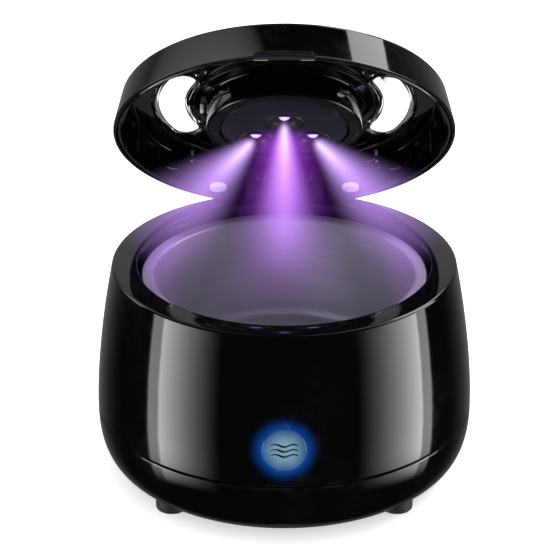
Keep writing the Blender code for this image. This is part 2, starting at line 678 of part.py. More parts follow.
def kidney(offset):
    """Window outline around +X: two arcs about the lid's middle, joined by round ends."""
    inner, outer = WINDOW_INNER - offset, WINDOW_OUTER + offset
    middle, end = (inner + outer) / 2, (outer - inner) / 2
    half = WINDOW_HALF_ANGLE
    points = [around(outer, a) for a in spread(-half, half, 9)]
    tip = Vector(around(middle, half))
    for a in spread(half, half + math.pi, 8)[1:-1]:
        points.append((tip.x + end * math.cos(a), tip.y + end * math.sin(a)))
    points += [around(inner, a) for a in spread(half, -half, 8)]
    tip = Vector(around(middle, -half))
    for a in spread(math.pi - half, 2 * math.pi - half, 8)[1:-1]:
        points.append((tip.x + end * math.cos(a), tip.y + end * math.sin(a)))
    return points


def window_cutter(name, side):
    points = [(side * x, y) for x, y in kidney(0.0)]
    return prism(name, points, LID_Z + LID_HEIGHT - 0.0060, LID_Z + LID_HEIGHT + 0.0060)


def notch_cutter(name):
    """Finger notch in the front edge of the lid."""
    corner = 0.0012
    top = LID_Z + NOTCH_HEIGHT
    low = LID_Z - 0.002
    right = [(NOTCH_HALF - corner + corner * math.cos(a), top - corner + corner * math.sin(a))
             for a in spread(0.0, math.pi / 2, 5)]
    outline = [(NOTCH_HALF, low)] + right + [(-x, z) for x, z in reversed(right)] + [(-NOTCH_HALF, low)]
    return prism(name, outline, -RIM_RADIUS - 0.005, -RIM_RADIUS + 0.012, "Y")


def make_lid_shell():
    """Glossy outer cover with two kidney-shaped window openings."""
    high = LID_HEIGHT - LID_EDGE
    wall = [(lid_radius(z), LID_Z + z) for z in spread(0.0002, high, 4)]
    crest = lid_radius(LID_HEIGHT) - LID_EDGE
    top = [(r, crowned(LID_HEIGHT, r)) for r in (crest, WINDOW_OUTER + 0.003, WINDOW_INNER - 0.003, 0.0)]
    under = LID_HEIGHT - LID_SHEET
    reach = lid_radius(under) - LID_SHEET
    ceiling = [(r, crowned(under, r)) for r in (0.0, WINDOW_INNER - 0.003, WINDOW_OUTER + 0.003, reach)]
    inside = [(lid_radius(z) - LID_SHEET, LID_Z + z) for z in spread(under - 0.0010, 0.0, 3)]
    outline = wall + top + ceiling + inside + [(lid_radius(0.0) - 0.0002, LID_Z)]
    shell = on_lid(turned_cover("lid_shell", outline))
    cut(shell, on_lid(gather("cover_openings", window_cutter("opening_left", -1),
                             window_cutter("opening_right", 1), notch_cutter("shell_notch"))))
    return shell


def turned_cover(name, outline, look=BLACK_GLOSS):
    """Spins a closed outline that touches the axis on its top and its underside."""
    first = next(i for i, (r, z) in enumerate(outline) if r == 0.0)
    ordered = outline[first + 1:] + outline[:first + 1]
    return turned(name, ordered, look, closed=False)


def make_lid_liner():
    """Inner wall of the lid with a turned-in shelf above and the posts of the two rear pads."""
    skin = LID_SHEET + GAP
    shelf = LINER_DEPTH
    shelf_in = WINDOW_OUTER + WINDOW_FLANGE + 0.0008
    outer = [(lid_radius(z) - skin, LID_Z + z) for z in spread(0.0, shelf + LINER_SHEET - 0.0008, 4)]
    top_r = lid_radius(shelf + LINER_SHEET) - skin - 0.0008
    foot = lid_radius(0.0) - skin - LINER_SHEET
    inner = [(liner_inside(z), LID_Z + z) for z in spread(shelf, 0.0016, 3)]
    outline = outer + [(top_r, LID_Z + shelf + LINER_SHEET), (shelf_in, LID_Z + shelf + LINER_SHEET),
                       (shelf_in, LID_Z + shelf)] + inner + [(foot, LID_Z + 0.0012), (foot, LID_Z)]
    liner = on_lid(turned("lid_liner", outline, BLACK_GLOSS))
    post_low = LID_Z + PAD_RAISE + PAD_HEIGHT + GAP
    joined, holes = [], [notch_cutter("liner_notch")]
    for side in (-1, 1):
        joined.append(cylinder(f"pad_post_{side}", PAD_RADIUS + 0.0005, post_low, LID_Z + shelf + 0.0005,
                               pad_place(side)))
        reach = liner_inside(shelf)
        rib = block(f"rib_{side}", (reach - 0.0050, -0.0006, LID_Z + 0.0050),
                    (reach + 0.0006, 0.0006, LID_Z + shelf + 0.0005))
        rib.rotation_euler = (0.0, 0.0, math.pi / 2 - side * (math.pi / 2 - RIB_ANGLE))
        joined.append(rib)
        pilot = cylinder(f"hinge_pilot_{side}", PILOT_RADIUS, -0.0060, 0.0060, segments=SMALL_SEGMENTS)
        pilot.rotation_euler = (math.pi / 2, 0.0, 0.0)
        pilot.location = (side * HINGE_SCREW_X, RIM_RADIUS, LID_Z + HINGE_SCREW_Z)
        holes.append(pilot)
    join(liner, on_lid(gather("posts_and_ribs", *joined)))
    cut(liner, on_lid(gather("liner_holes", *holes)))
    return liner


def pad_place(side):
    """Middle of a rear pad, just inside the liner's wall."""
    x, y = around(liner_inside(LINER_DEPTH) - PAD_INSET, PAD_ANGLE)
    return side * x, y


def make_lid_pads():
    low = LID_Z + PAD_RAISE
    for side, name in ((-1, "lid_pad_left"), (1, "lid_pad_right")):
        on_lid(cylinder(name, PAD_RADIUS, low, low + PAD_HEIGHT, pad_place(side), GREY_PLASTIC))


def make_windows():
    """Clear plugs with a wider flange under the cover."""
    flange_low = LID_Z + LINER_DEPTH - 0.0002
    flange_high = flange_low + 0.0008
    for side, name in ((-1, "window_left"), (1, "window_right")):
        heights = [(WINDOW_FLANGE - 0.0002, flange_low), (WINDOW_FLANGE, flange_low + 0.0002),
                   (WINDOW_FLANGE, flange_high), (-GAP, flange_high),
                   (-GAP, LID_Z + LID_HEIGHT - 0.0004), (-GAP - 0.0005, LID_Z + LID_HEIGHT + 0.0001)]
        rings = [[(side * x, y, z) for x, y in kidney(offset)] for offset, z in heights]
        on_lid(lofted(name, rings, CLEAR))


def head_level(z):
    return LID_Z + HEAD_RAISE + z


def make_light_head():
    """Drum that hangs from the cover, with its bezel turned in round the smoked lens."""
    ceiling = crowned(LID_HEIGHT - LID_SHEET, HEAD_FLANGE_RADIUS) - GAP
    low = head_level(0.0)
    seat = head_level(LENS_THICKNESS + GAP)
    flange_low = ceiling - HEAD_FLANGE_THICKNESS
    inner = HEAD_RADIUS - HEAD_SHEET
    outline = [(LENS_RADIUS + GAP, low + 0.0002), (LENS_RADIUS + 0.0008, low), (HEAD_RADIUS - 0.0008, low),
               (HEAD_RADIUS, low + 0.0008), (HEAD_RADIUS, flange_low - 0.0008),
               (HEAD_RADIUS + 0.0008, flange_low), (HEAD_FLANGE_RADIUS - 0.0003, flange_low),
               (HEAD_FLANGE_RADIUS, flange_low + 0.0003), (HEAD_FLANGE_RADIUS, ceiling), (inner, ceiling),
               (inner, seat + 0.0014), (LENS_RADIUS - 0.0014, seat + 0.0014), (LENS_RADIUS - 0.0014, seat),
               (LENS_RADIUS + GAP, seat)]
    head = on_lid(turned("light_head", outline, BLACK_GLOSS))
    reach = (HEAD_RADIUS + HEAD_FLANGE_RADIUS) / 2 + 0.0004
    places = [around(reach, angle) for angle in HEAD_SCREW_ANGLES]
    flange_holes = [cylinder(f"flange_hole_{i}", 0.0011, flange_low - 0.001, ceiling + 0.001, place,
                             segments=SMALL_SEGMENTS) for i, place in enumerate(places)]
    cut(head, on_lid(gather("flange_holes", *flange_holes)))
    for i, place in enumerate(places):
        top = flange_low - GAP - 0.0012
        screw = on_lid(turned(f"head_screw_{i + 1}",
                              [(0.0, top), (0.0012, top), (0.0016, top + 0.0004), (0.0016, top + 0.0012),
                               (0.0008, top + 0.0012), (0.0008, ceiling), (0.0, ceiling)],
                              STEEL, closed=False, segments=SMALL_SEGMENTS))
        screw.location = (*place, 0.0)


def make_lens():
    """Smoked disc with three round lamp openings, the lamps' rings and the lamps on their board."""
    low = head_level(0.0004)
    lens = on_lid(cylinder("head_lens", LENS_RADIUS, low, low + LENS_THICKNESS - 0.0004, look=SMOKED,
                           segments=SEGMENTS))
    board_low = head_level(0.0050)
    board_high = board_low + BOARD_THICKNESS
    on_lid(cylinder("lamp_board", LENS_RADIUS + 0.0010, board_low, board_high, look=BOARD_GREEN,
                    segments=48))
    openings = [cylinder(f"lamp_opening_{i}", LAMP_RING_RADIUS, low - 0.001, low + 0.004, place)
                for i, place in enumerate(LAMP_PLACES)]
    cut(lens, on_lid(gather("lamp_openings", *openings)))
    ring_in = LAMP_RING_RADIUS - GAP
    for i, place in enumerate(LAMP_PLACES):
        cup_high = board_low - GAP
        cup = [(ring_in - 0.0012, low), (ring_in - 0.0003, low - 0.0002), (ring_in, low),
               (ring_in, low + 0.0010), (0.0044, cup_high), (0.0028, cup_high), (0.0034, low + 0.0012),
               (0.0040, low + 0.0006)]
        ring = on_lid(turned(f"lamp_cup_{i + 1}", cup, BLACK_SATIN, segments=FINE_SEGMENTS))
        ring.location = (*place, 0.0)
        bead = [(LAMP_RADIUS * math.cos(a), cup_high - 0.0008 - LAMP_RADIUS * math.sin(a))
                for a in spread(0, math.pi / 2, 5)]
        dome = [(0.0, cup_high), (LAMP_RADIUS, cup_high)] + bead
        lamp = on_lid(turned(f"lamp_{i + 1}", dome, LAMP_VIOLET, closed=False, segments=20))
        lamp.location = (*place, 0.0)


def make_hinge_block():
    """Knuckle and web that carry the lid, screwed to the liner."""
    knuckle_front = HINGE.y - KNUCKLE_RADIUS
    web_back = math.sqrt((liner_inside(LINER_DEPTH) - GAP) ** 2 - KNUCKLE_HALF ** 2)
    knuckle = [(HINGE.y + KNUCKLE_RADIUS * math.cos(a), HINGE.z + KNUCKLE_RADIUS * math.sin(a))
               for a in spread(0.0, -math.pi, 13)]
    web_top = LID_Z + LINER_DEPTH - GAP
    web_front = web_back - WEB_THICKNESS
    outline = knuckle + [(knuckle_front, RIM_Z + 0.0004), (web_front, RIM_Z + 0.0012),
                         (web_front, web_top - 0.0006), (web_front + 0.0006, web_top), (web_back, web_top),
                         (web_back, RIM_Z + 0.0025), (HINGE.y + KNUCKLE_RADIUS, RIM_Z - 0.0012)]
    item = on_lid(prism("hinge_block", outline, -KNUCKLE_HALF, KNUCKLE_HALF, "X", BLACK_GLOSS))
    holes = [sideways_bar("knuckle_bore", PIN_RADIUS + 0.0003, KNUCKLE_HALF + 0.001)]
    places = [(side * HINGE_SCREW_X, web_front, LID_Z + HINGE_SCREW_Z) for side in (-1, 1)]
    for i, place in enumerate(places):
        hole = cylinder(f"block_hole_{i}", 0.0013, -0.0060, 0.0060, segments=SMALL_SEGMENTS)
        hole.rotation_euler = (math.pi / 2, 0.0, 0.0)
        hole.location = place
        holes.append(hole)
    cut(item, on_lid(gather("block_holes", *holes)))
    for i, place in enumerate(places):
        on_lid(make_screw(f"hinge_screw_{i + 1}", (place[0], place[1] - GAP - SCREW_HEAD_HEIGHT, place[2]),
                          0.0058, "BACK", head_radius=0.0020))


def make_catch():
    """Keeper behind the finger notch: a black carrier with two pale tabs."""
    low, high = 0.0026, 0.0060
    reach = math.sqrt((liner_inside(high) - GAP) ** 2 - CATCH_HALF ** 2)
    low, high = LID_Z + low, LID_Z + high
    carrier_low, carrier_high = (-CATCH_HALF, -reach, low), (CATCH_HALF, -reach + 0.0022, high)
    on_lid(block("catch_carrier", carrier_low, carrier_high, BLACK_SATIN))
    for side, name in ((-1, "catch_tab_left"), (1, "catch_tab_right")):
        x = side * CATCH_TAB_X
        on_lid(block(name, (x - 0.0024, -reach + 0.0025, low + 0.0004),
                     (x + 0.0024, -reach + 0.0033, low + 0.0028), GREY_PLASTIC))


def main():
    clear_scene()
    button_axis()
    empty_at("lid_axis", HINGE, -OPEN_ANGLE)
    make_body_shell()
    make_base_shell()
    make_feet()
    make_case_screws()
    make_tank()
    make_transducer()
    make_driver_board()
    make_hinge_pin()
    make_power_socket()
    make_button()
    make_lid_shell()
    make_lid_liner()
    make_lid_pads()
    make_windows()
    make_light_head()
    make_lens()
    make_hinge_block()
    make_catch()


main()
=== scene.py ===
"""Looks for a round ultrasonic cleaner, laid out as an add-on with one operator for each piece or group.

Metres, +Z up, front towards -Y. Pieces of the lid are drawn shut and then turned open about the hinge.
"""
import json
import math

import bmesh
import bpy
from bpy.props import FloatProperty, FloatVectorProperty, IntProperty, PointerProperty
from mathutils import Matrix, Vector

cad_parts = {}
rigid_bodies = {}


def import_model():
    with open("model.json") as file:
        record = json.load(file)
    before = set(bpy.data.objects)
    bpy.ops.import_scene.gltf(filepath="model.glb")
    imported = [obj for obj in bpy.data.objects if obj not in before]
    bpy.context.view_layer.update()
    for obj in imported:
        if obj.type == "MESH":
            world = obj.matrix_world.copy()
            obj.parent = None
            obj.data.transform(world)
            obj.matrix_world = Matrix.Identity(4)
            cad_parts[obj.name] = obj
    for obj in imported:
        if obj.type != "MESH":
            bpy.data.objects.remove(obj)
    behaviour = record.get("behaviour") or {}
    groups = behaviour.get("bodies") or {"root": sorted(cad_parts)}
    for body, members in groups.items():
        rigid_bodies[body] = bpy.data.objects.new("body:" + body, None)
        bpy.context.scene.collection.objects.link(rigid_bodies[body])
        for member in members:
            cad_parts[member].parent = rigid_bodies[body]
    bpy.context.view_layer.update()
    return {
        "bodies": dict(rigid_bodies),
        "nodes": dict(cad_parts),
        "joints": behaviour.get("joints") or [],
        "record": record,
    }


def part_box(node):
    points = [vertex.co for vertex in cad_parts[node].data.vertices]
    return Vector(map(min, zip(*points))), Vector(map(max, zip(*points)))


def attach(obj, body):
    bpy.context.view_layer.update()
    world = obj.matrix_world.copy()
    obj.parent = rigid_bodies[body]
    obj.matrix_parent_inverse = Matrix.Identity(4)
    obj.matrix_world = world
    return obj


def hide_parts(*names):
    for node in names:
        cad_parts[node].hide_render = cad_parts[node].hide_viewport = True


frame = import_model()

bl_info = {
    "name": "Ultrasonic Cleaner Looks",
    "version": (1, 0, 0),
    "blender": (4, 5, 0),
    "location": "3D View > Sidebar > Cleaner",
    "description": "Builds the finished pieces, finishes and stage of a round ultrasonic cleaner",
    "category": "Object",
}

JOINTS = {joint["name"]: joint for joint in frame["joints"]}
RIM_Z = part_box("body_shell")[1].z
OPEN_ANGLE = math.radians(48.0)
HINGE = Vector(JOINTS["lid_hinge"]["pos_m"])
LID_PLACE = (Matrix.Translation(HINGE) @ Matrix.Rotation(-OPEN_ANGLE, 4, "X") @ Matrix.Translation(-HINGE))
GAP = 0.0003
ALONG_X = Matrix.Rotation(math.pi / 2, 4, "Y")
ALONG_Y = Matrix.Rotation(math.pi / 2, 4, "X")
LID_Z = RIM_Z + GAP
BASE_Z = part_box("base_shell")[0].z
FLOOR_Z = BASE_Z + 0.0022
OWN_RADIUS = -1.0

# Sizes that several pieces share
CORNER_INSET = 0.0092
CORNER_POWER = 2.6
LEDGE_DROP = 0.0072
LEDGE_SEAT = 0.0020
SHELF_DROP = 0.0122
TONGUE_HEIGHT = 0.0030
TANK_LIP = 0.0032
TANK_SHEET = 0.0008
LID_SHEET = 0.0012
LID_CROWN = 0.0009
LINER_SHEET = 0.0011
LINER_STEP = 0.0006
LINER_DEPTH = 0.0106
NOTCH_HALF = 0.0093
NOTCH_HEIGHT = 0.0018
OPEN_LIMIT = math.radians(75.0)
KNUCKLE_HALF = 0.0132
KNUCKLE_RADIUS = 0.0021
WEB_THICKNESS = 0.0016
SIDE_CLEARANCE = 0.0006
BORE_RADIUS = 0.0013
PILOT_RADIUS = 0.0011
HINGE_SCREW_X = 0.0080
HINGE_SCREW_Z = LID_Z + 0.0065
RIB_ANGLE = math.radians(46.5)

# Stage: white floor, studio strips seen in the gloss, lamp beams and camera
FLOOR_HALF = 3.0
FLOOR_GLOW = 0.55
SOFTBOX = ((0.78, 0.60, 1.0), (0.0, 0.0, 0.06), (1.1, 0.5), 10.0)
SIDE_STRIPS = ((1.0, 44.0, 91.8, 100.5), (-1.0, 38.0, 81.4, 90.2))
STRIP_GAIN = 9.0
STRIP_BAND = 3.2
UPPER_RIGHT = 5.5
UPPER_LEFT = 1.9
BEHIND = 0.42
LOWEST = 0.006
BEAM_LENGTH = 0.056
BEAM_START = 0.0020
BEAM_STRENGTH = 1000.0
LAMP_WATTS = 0.28
LAMP_SPREAD = math.radians(85)
CAMERA_DISTANCE = 0.850
CAMERA_RAISE = math.radians(24.85)
CAMERA_LENS = 172.0
CAMERA_SHIFT = (-0.016, -0.0287)
made = {}


class CleanerSizes(bpy.types.PropertyGroup):
    """Sizes that shape the casing, lid, light head and button."""

    rim_height: FloatProperty(name="Rim Height", description="Height of the casing's flat rim",
                              default=RIM_Z, unit="LENGTH", precision=4)
    rim_radius: FloatProperty(name="Rim Radius", description="Outer radius of the casing at its rim",
                              default=0.0555, unit="LENGTH", precision=4)
    belly_height: FloatProperty(name="Belly Height", description="Height at which the casing is widest",
                                default=0.02225, unit="LENGTH", precision=5)
    belly_radius: FloatProperty(name="Belly Radius", description="Radius of the casing at its widest",
                                default=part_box("body_shell")[1].x, unit="LENGTH", precision=4)
    shoulder_power: FloatProperty(name="Shoulder Power",
                                  description="How late the wall turns in towards the rim",
                                  default=1.7, min=1.0, max=4.0)
    wall: FloatProperty(name="Casing Wall", description="Thickness of the moulded casing",
                        default=0.0022, unit="LENGTH", precision=4)
    seam_height: FloatProperty(name="Seam Height", description="Height of the parting line round the casing",
                               default=0.0215, unit="LENGTH", precision=4)
    mouth_radius: FloatProperty(name="Mouth Radius", description="Radius of the opening over the tank",
                                default=0.0475, unit="LENGTH", precision=4)
    lid_height: FloatProperty(name="Lid Height", description="Height of the lid's wall",
                              default=0.0131, unit="LENGTH", precision=4)
    window_inner: FloatProperty(name="Window Inner Radius", description="Inner radius of the two lid windows",
                                default=0.0319, unit="LENGTH", precision=4)
    window_outer: FloatProperty(name="Window Outer Radius", description="Outer radius of the two lid windows",
                                default=0.0413, unit="LENGTH", precision=4)
    window_half_angle: FloatProperty(name="Window Half Angle", description="Half of the arc a window covers",
                                     default=math.radians(27.0), subtype="ANGLE")
    head_radius: FloatProperty(name="Head Radius", description="Radius of the hanging light head",
                               default=0.0253, unit="LENGTH", precision=4)
    lamp_ring: FloatProperty(name="Lamp Ring Radius", description="Outer radius of the ring round each lamp",
                             default=0.0064, unit="LENGTH", precision=4)
    button_height: FloatProperty(name="Button Height", description="Height of the button's middle",
                                 default=0.0344, unit="LENGTH", precision=4)
    button_radius: FloatProperty(name="Button Radius", description="Radius of the push button",
                                 default=0.0070, unit="LENGTH", precision=4)
    wave_width: FloatProperty(name="Wave Width", description="Length of the wavy marks on the button",
                              default=0.0086, unit="LENGTH", precision=4)
    steps: IntProperty(name="Steps Round", description="Number of steps round the big turned pieces",
                       default=192, min=48, max=256)


class CleanerColours(bpy.types.PropertyGroup):
    """Colours that a user would change."""

    casing: FloatVectorProperty(name="Casing", description="Glossy moulded casing and lid",
                                subtype="COLOR", default=(0.0012, 0.0012, 0.0014), min=0.0, max=1.0)
    satin: FloatVectorProperty(name="Satin Parts", description="Satin black inner parts",
                               subtype="COLOR", default=(0.012, 0.012, 0.013), min=0.0, max=1.0)
    rubber: FloatVectorProperty(name="Rubber", description="Feet and gasket",
                                subtype="COLOR", default=(0.014, 0.014, 0.014), min=0.0, max=1.0)
    steel: FloatVectorProperty(name="Tank Steel", description="Brushed steel of the tank",
                               subtype="COLOR", default=(0.50, 0.51, 0.53), min=0.0, max=1.0)
    window: FloatVectorProperty(name="Window", description="Clear plastic of the lid windows",
                                subtype="COLOR", default=(0.97, 0.98, 0.99), min=0.0, max=1.0)
    button: FloatVectorProperty(name="Button Glow", description="Light through the button's face",
                                subtype="COLOR", default=(0.085, 0.33, 0.56), min=0.0, max=1.0)
    # Colour of the glow painted as emission on the opaque casing round the button; it also colours the button's
    # own rim glow.
    painted_halo: FloatVectorProperty(name="Button Halo", description="Light through the wall round the button",
                              subtype="COLOR", default=(0.0, 0.045, 0.27), min=0.0, max=1.0)
    lamp: FloatVectorProperty(name="Lamp Light", description="Light of the three lamps",
                              subtype="COLOR", default=(0.36, 0.07, 1.0), min=0.0, max=1.0)
    floor: FloatVectorProperty(name="Floor", description="Studio floor",
                               subtype="COLOR", default=(0.90, 0.90, 0.90), min=0.0, max=1.0)


def sizes():
    return bpy.context.scene.cleaner_sizes


def colours():
    return bpy.context.scene.cleaner_colours


# ---------------------------------------------------------------- shape rules

def outline_radius(z):
    """Outer radius of the casing above its belly; above the rim it goes on as the lid's wall."""
    s = sizes()
    rise = max(0.0, (z - s.belly_height) / (s.rim_height - s.belly_height))
    return s.belly_radius - (s.belly_radius - s.rim_radius) * rise ** s.shoulder_power


def corner_radius(z):
    """Outer radius of the rounded lower corner."""
    s = sizes()
    fall = max(0.0, min(1.0, (s.belly_height - z) / (s.belly_height - BASE_Z)))
    return s.belly_radius - CORNER_INSET * (1 - math.sqrt(1 - fall ** CORNER_POWER))


def lid_radius(z):
    return outline_radius(LID_Z + z)


def liner_inside(z):
    return lid_radius(z) - LID_SHEET - GAP - LINER_SHEET - LINER_STEP


def crowned(z, radius):
    return LID_Z + z + LID_CROWN * (1 - (radius / sizes().rim_radius) ** 2)


def spread(start, end, count):
    return [start + (end - start) * i / (count - 1) for i in range(count)]


def around(circle, angle):
    return circle * math.cos(angle), circle * math.sin(angle)


def arc(centre, radius, start_deg, end_deg, count=6):
    """Round stretch of an outline, as points of radius and height."""
    angles = [math.radians(a) for a in spread(start_deg, end_deg, count)]
    return [(centre[0] + radius * math.cos(a), centre[1] + radius * math.sin(a)) for a in angles]


def rounded(corners, steps=5):
    """Outline whose corners (radius, height, rounding) are turned into arcs where the rounding isn't 0."""
    points = []
    for i, (r, z, size) in enumerate(corners):
        here = Vector((r, z))
        if size == 0.0:
            points.append((r, z))
            continue
        before = Vector(corners[i - 1][:2])
        after = Vector(corners[(i + 1) % len(corners)][:2])
        one, two = (before - here).normalized(), (after - here).normalized()
        start, end = here + one * size, here + two * size
        for t in spread(0.0, 1.0, steps):
            point = start * (1 - t) ** 2 + here * 2 * t * (1 - t) + end * t * t
            points.append((point.x, point.y))
    return points


# ---------------------------------------------------------------- mesh tools

def mesh_object(name, bm, smooth_angle=32.0):
    """Closed mesh from a bmesh, with its doubles merged and its faces outwards."""
    bmesh.ops.remove_doubles(bm, verts=bm.verts, dist=1e-6)
    bmesh.ops.recalc_face_normals(bm, faces=bm.faces)
    mesh = bpy.data.meshes.new(name)
    bm.to_mesh(mesh)
    bm.free()
    item = bpy.data.objects.new(name, mesh)
    bpy.context.scene.collection.objects.link(item)
    mesh.shade_smooth()
    mesh.set_sharp_from_angle(angle=math.radians(smooth_angle))
    return item


def turned(name, outline, steps=64, closed=True):
    """Spins an outline of (radius, height) about Z; an open one starts and ends on the axis."""
    bm = bmesh.new()
    verts = [bm.verts.new((r, 0.0, z)) for r, z in outline]
    pairs = list(zip(verts, verts[1:]))
    if closed:
        pairs.append((verts[-1], verts[0]))
    edges = [bm.edges.new(pair) for pair in pairs]
    bmesh.ops.spin(bm, geom=verts + edges, cent=(0, 0, 0), axis=(0, 0, 1), angle=math.tau,
                   steps=steps, use_merge=True)
    return mesh_object(name, bm)


def prism(name, outline, start, end, axis="Z"):
    """Extrudes a flat outline whose two numbers run along the other two axes, in X, Y, Z order."""
    order = {"X": (2, 0, 1), "Y": (0, 2, 1), "Z": (0, 1, 2)}[axis]
    bm = bmesh.new()
    layers = []
    for level in (start, end):
        points = [(a, b, level) for a, b in outline]
        layers.append([bm.verts.new([point[i] for i in order]) for point in points])
    count = len(outline)
    for i in range(count):
        j = (i + 1) % count
        bm.faces.new((layers[0][i], layers[0][j], layers[1][j], layers[1][i]))
    bm.faces.new(layers[0])
    bm.faces.new(layers[1])
    return mesh_object(name, bm)


def block(name, low, high):
    outline = [(low[0], low[1]), (high[0], low[1]), (high[0], high[1]), (low[0], high[1])]
    return prism(name, outline, low[2], high[2])


def lofted(name, rings):
    """Closed piece through rings of equal point counts, capped at both ends."""
    bm = bmesh.new()
    layers = [[bm.verts.new(point) for point in ring] for ring in rings]
    for below, above in zip(layers, layers[1:]):
        for i in range(len(below)):
            j = (i + 1) % len(below)
            bm.faces.new((below[i], below[j], above[j], above[i]))
    bm.faces.new(layers[0])
    bm.faces.new(layers[-1])
    return mesh_object(name, bm)


def moved(item, matrix):
    item.data.transform(matrix)
    return item


def bar(name, radius, low, high, centre=(0.0, 0.0), steps=32, edge=0.0):
    """Upright round bar; an edge above 0 rounds its rims."""
    if edge:
        outline = [(0.0, low)] + arc((radius - edge, low + edge), edge, -90, 0, 4)
        outline += arc((radius - edge, high - edge), edge, 0, 90, 4) + [(0.0, high)]
    else:
        outline = [(0.0, low), (radius, low), (radius, high), (0.0, high)]
    return moved(turned(name, outline, steps, closed=False), Matrix.Translation((*centre, 0.0)))


def joined(name, *items):
    """One mesh of several pieces that don't touch."""
    bm = bmesh.new()
    for item in items:
        bm.from_mesh(item.data)
        bpy.data.objects.remove(item, do_unlink=True)
    return mesh_object(name, bm)


def bevel(item, width, segments=3, angle=35.0):
    modifier = item.modifiers.new("edges", "BEVEL")
    modifier.width = width
    modifier.segments = segments
    modifier.limit_method = "ANGLE"
    modifier.angle_limit = math.radians(angle)
    modifier.use_clamp_overlap = True
    return item


def combined(item, other, operation="DIFFERENCE"):
    modifier = item.modifiers.new(other.name, "BOOLEAN")
    modifier.operation = operation
    modifier.solver = "EXACT"
    modifier.object = other
    other.hide_render = True
    return item


def bake(item, smooth_angle=32.0):
    """Applies every modifier, removes the helpers it used and gives back a plain mesh object."""
    helpers = [m.object for m in item.modifiers if m.type == "BOOLEAN"]
    graph = bpy.context.evaluated_depsgraph_get()
    mesh = bpy.data.meshes.new_from_object(item.evaluated_get(graph))
    item.modifiers.clear()
    old = item.data
    item.data = mesh
    mesh.name = item.name
    bpy.data.meshes.remove(old)
    for helper in helpers:
        bpy.data.objects.remove(helper, do_unlink=True)
    mesh.shade_smooth()
    mesh.set_sharp_from_angle(angle=math.radians(smooth_angle))
    return item


def true_normals(item, rule):
    """Shades the turned wall by its rule, so that cuts in it leave no trace in the reflections."""
    mesh = item.data
    corner = [Vector(n.vector) for n in mesh.corner_normals]
    step = 0.0002
    for face in mesh.polygons:
        for loop in face.loop_indices:
            point = mesh.vertices[mesh.loops[loop].vertex_index].co
            radius = math.hypot(point.x, point.y)
            if radius < 0.02 or abs(radius - rule(point.z)) > 0.00003:
                continue
            slope = (rule(point.z + step) - rule(point.z - step)) / (2 * step)
            normal = Vector((point.x / radius, point.y / radius, -slope)).normalized()
            if normal.dot(face.normal) > 0.94:
                corner[loop] = normal
    mesh.normals_split_custom_set(corner)
    return item


def clean_materials(item, material):
    item.data.materials.clear()
    item.data.materials.append(material)
    for face in item.data.polygons:
        face.material_index = 0


def finished(item, body, slot, nodes=(), finish=None):
    """Places a baked piece, gives it its finish (named like its slot if not given) and ties it to its body."""
    if body == "lid":
        moved(item, LID_PLACE)
    clean_materials(item, made["finish"][finish or slot])
    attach(item, body)
    if nodes:
        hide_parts(*nodes)
    return item


# ---------------------------------------------------------------- node tools

class Tree:
    """Adds nodes to a tree and links them, given as sockets or plain values."""

    def __init__(self, tree):
        self.tree = tree

    def add(self, kind, _inputs=None, **settings):
        node = self.tree.nodes.new(kind)
        for key, value in settings.items():
            setattr(node, key, value)
        for key, value in (_inputs or {}).items():
            if isinstance(value, bpy.types.NodeSocket):
                self.tree.links.new(value, node.inputs[key])
            else:
                node.inputs[key].default_value = value
        return node

    def maths(self, operation, *values, clamp=False):
        node = self.add("ShaderNodeMath", dict(enumerate(values)), operation=operation)
        node.use_clamp = clamp
        return node.outputs[0]

    def vector(self, operation, *values, out=0):
        return self.add("ShaderNodeVectorMath", dict(enumerate(values)), operation=operation).outputs[out]

    def fit(self, value, low, high, to_low=0.0, to_high=1.0, smooth=False):
        node = self.add("ShaderNodeMapRange", {"Value": value, "From Min": low, "From Max": high,
                                               "To Min": to_low, "To Max": to_high})
        node.interpolation_type = "SMOOTHSTEP" if smooth else "LINEAR"
        return node.outputs["Result"]

    def mix(self, factor, one, two):
        node = self.add("ShaderNodeMix", data_type="RGBA")
        for index, value in ((0, factor), (6, one), (7, two)):
            if isinstance(value, bpy.types.NodeSocket):
                self.tree.links.new(value, node.inputs[index])
            else:
                node.inputs[index].default_value = value if index == 0 else (*value, 1.0)[:4]
        return node.outputs[2]


def shader_group(name, inputs, outputs, build):
    """Shader node group with named inputs and outputs."""
    group = bpy.data.node_groups.new(name, "ShaderNodeTree")
    for label, kind, default in inputs:
        socket = group.interface.new_socket(label, in_out="INPUT", socket_type=kind)
        if default is not None:
            socket.default_value = default
    for label, kind in outputs:
        group.interface.new_socket(label, in_out="OUTPUT", socket_type=kind)
    tree = Tree(group)
    source = tree.add("NodeGroupInput")
    target = tree.add("NodeGroupOutput")
    for label, value in build(tree, source.outputs).items():
        group.links.new(value, target.inputs[label])
    return group


def handling_marks(t, given):
    """Smudges: broad soft patches and a finer set that changes the gloss a little."""
    broad = t.add("ShaderNodeTexNoise", {"Vector": given["Vector"], "Scale": given["Scale"], "Detail": 5.0,
                                         "Roughness": 0.6})
    fine_scale = t.maths("MULTIPLY", given["Scale"], 9.0)
    fine = t.add("ShaderNodeTexNoise", {"Vector": given["Vector"], "Scale": fine_scale, "Detail": 3.0})
    patch = t.fit(broad.outputs[0], 0.46, 0.70, smooth=True)
    speck = t.fit(fine.outputs[0], 0.35, 0.75)
    mask = t.maths("MULTIPLY", patch, speck)
    extra = t.maths("MULTIPLY", mask, given["Amount"])
    return {"Roughness": t.maths("ADD", given["Roughness"], extra), "Mask": mask}


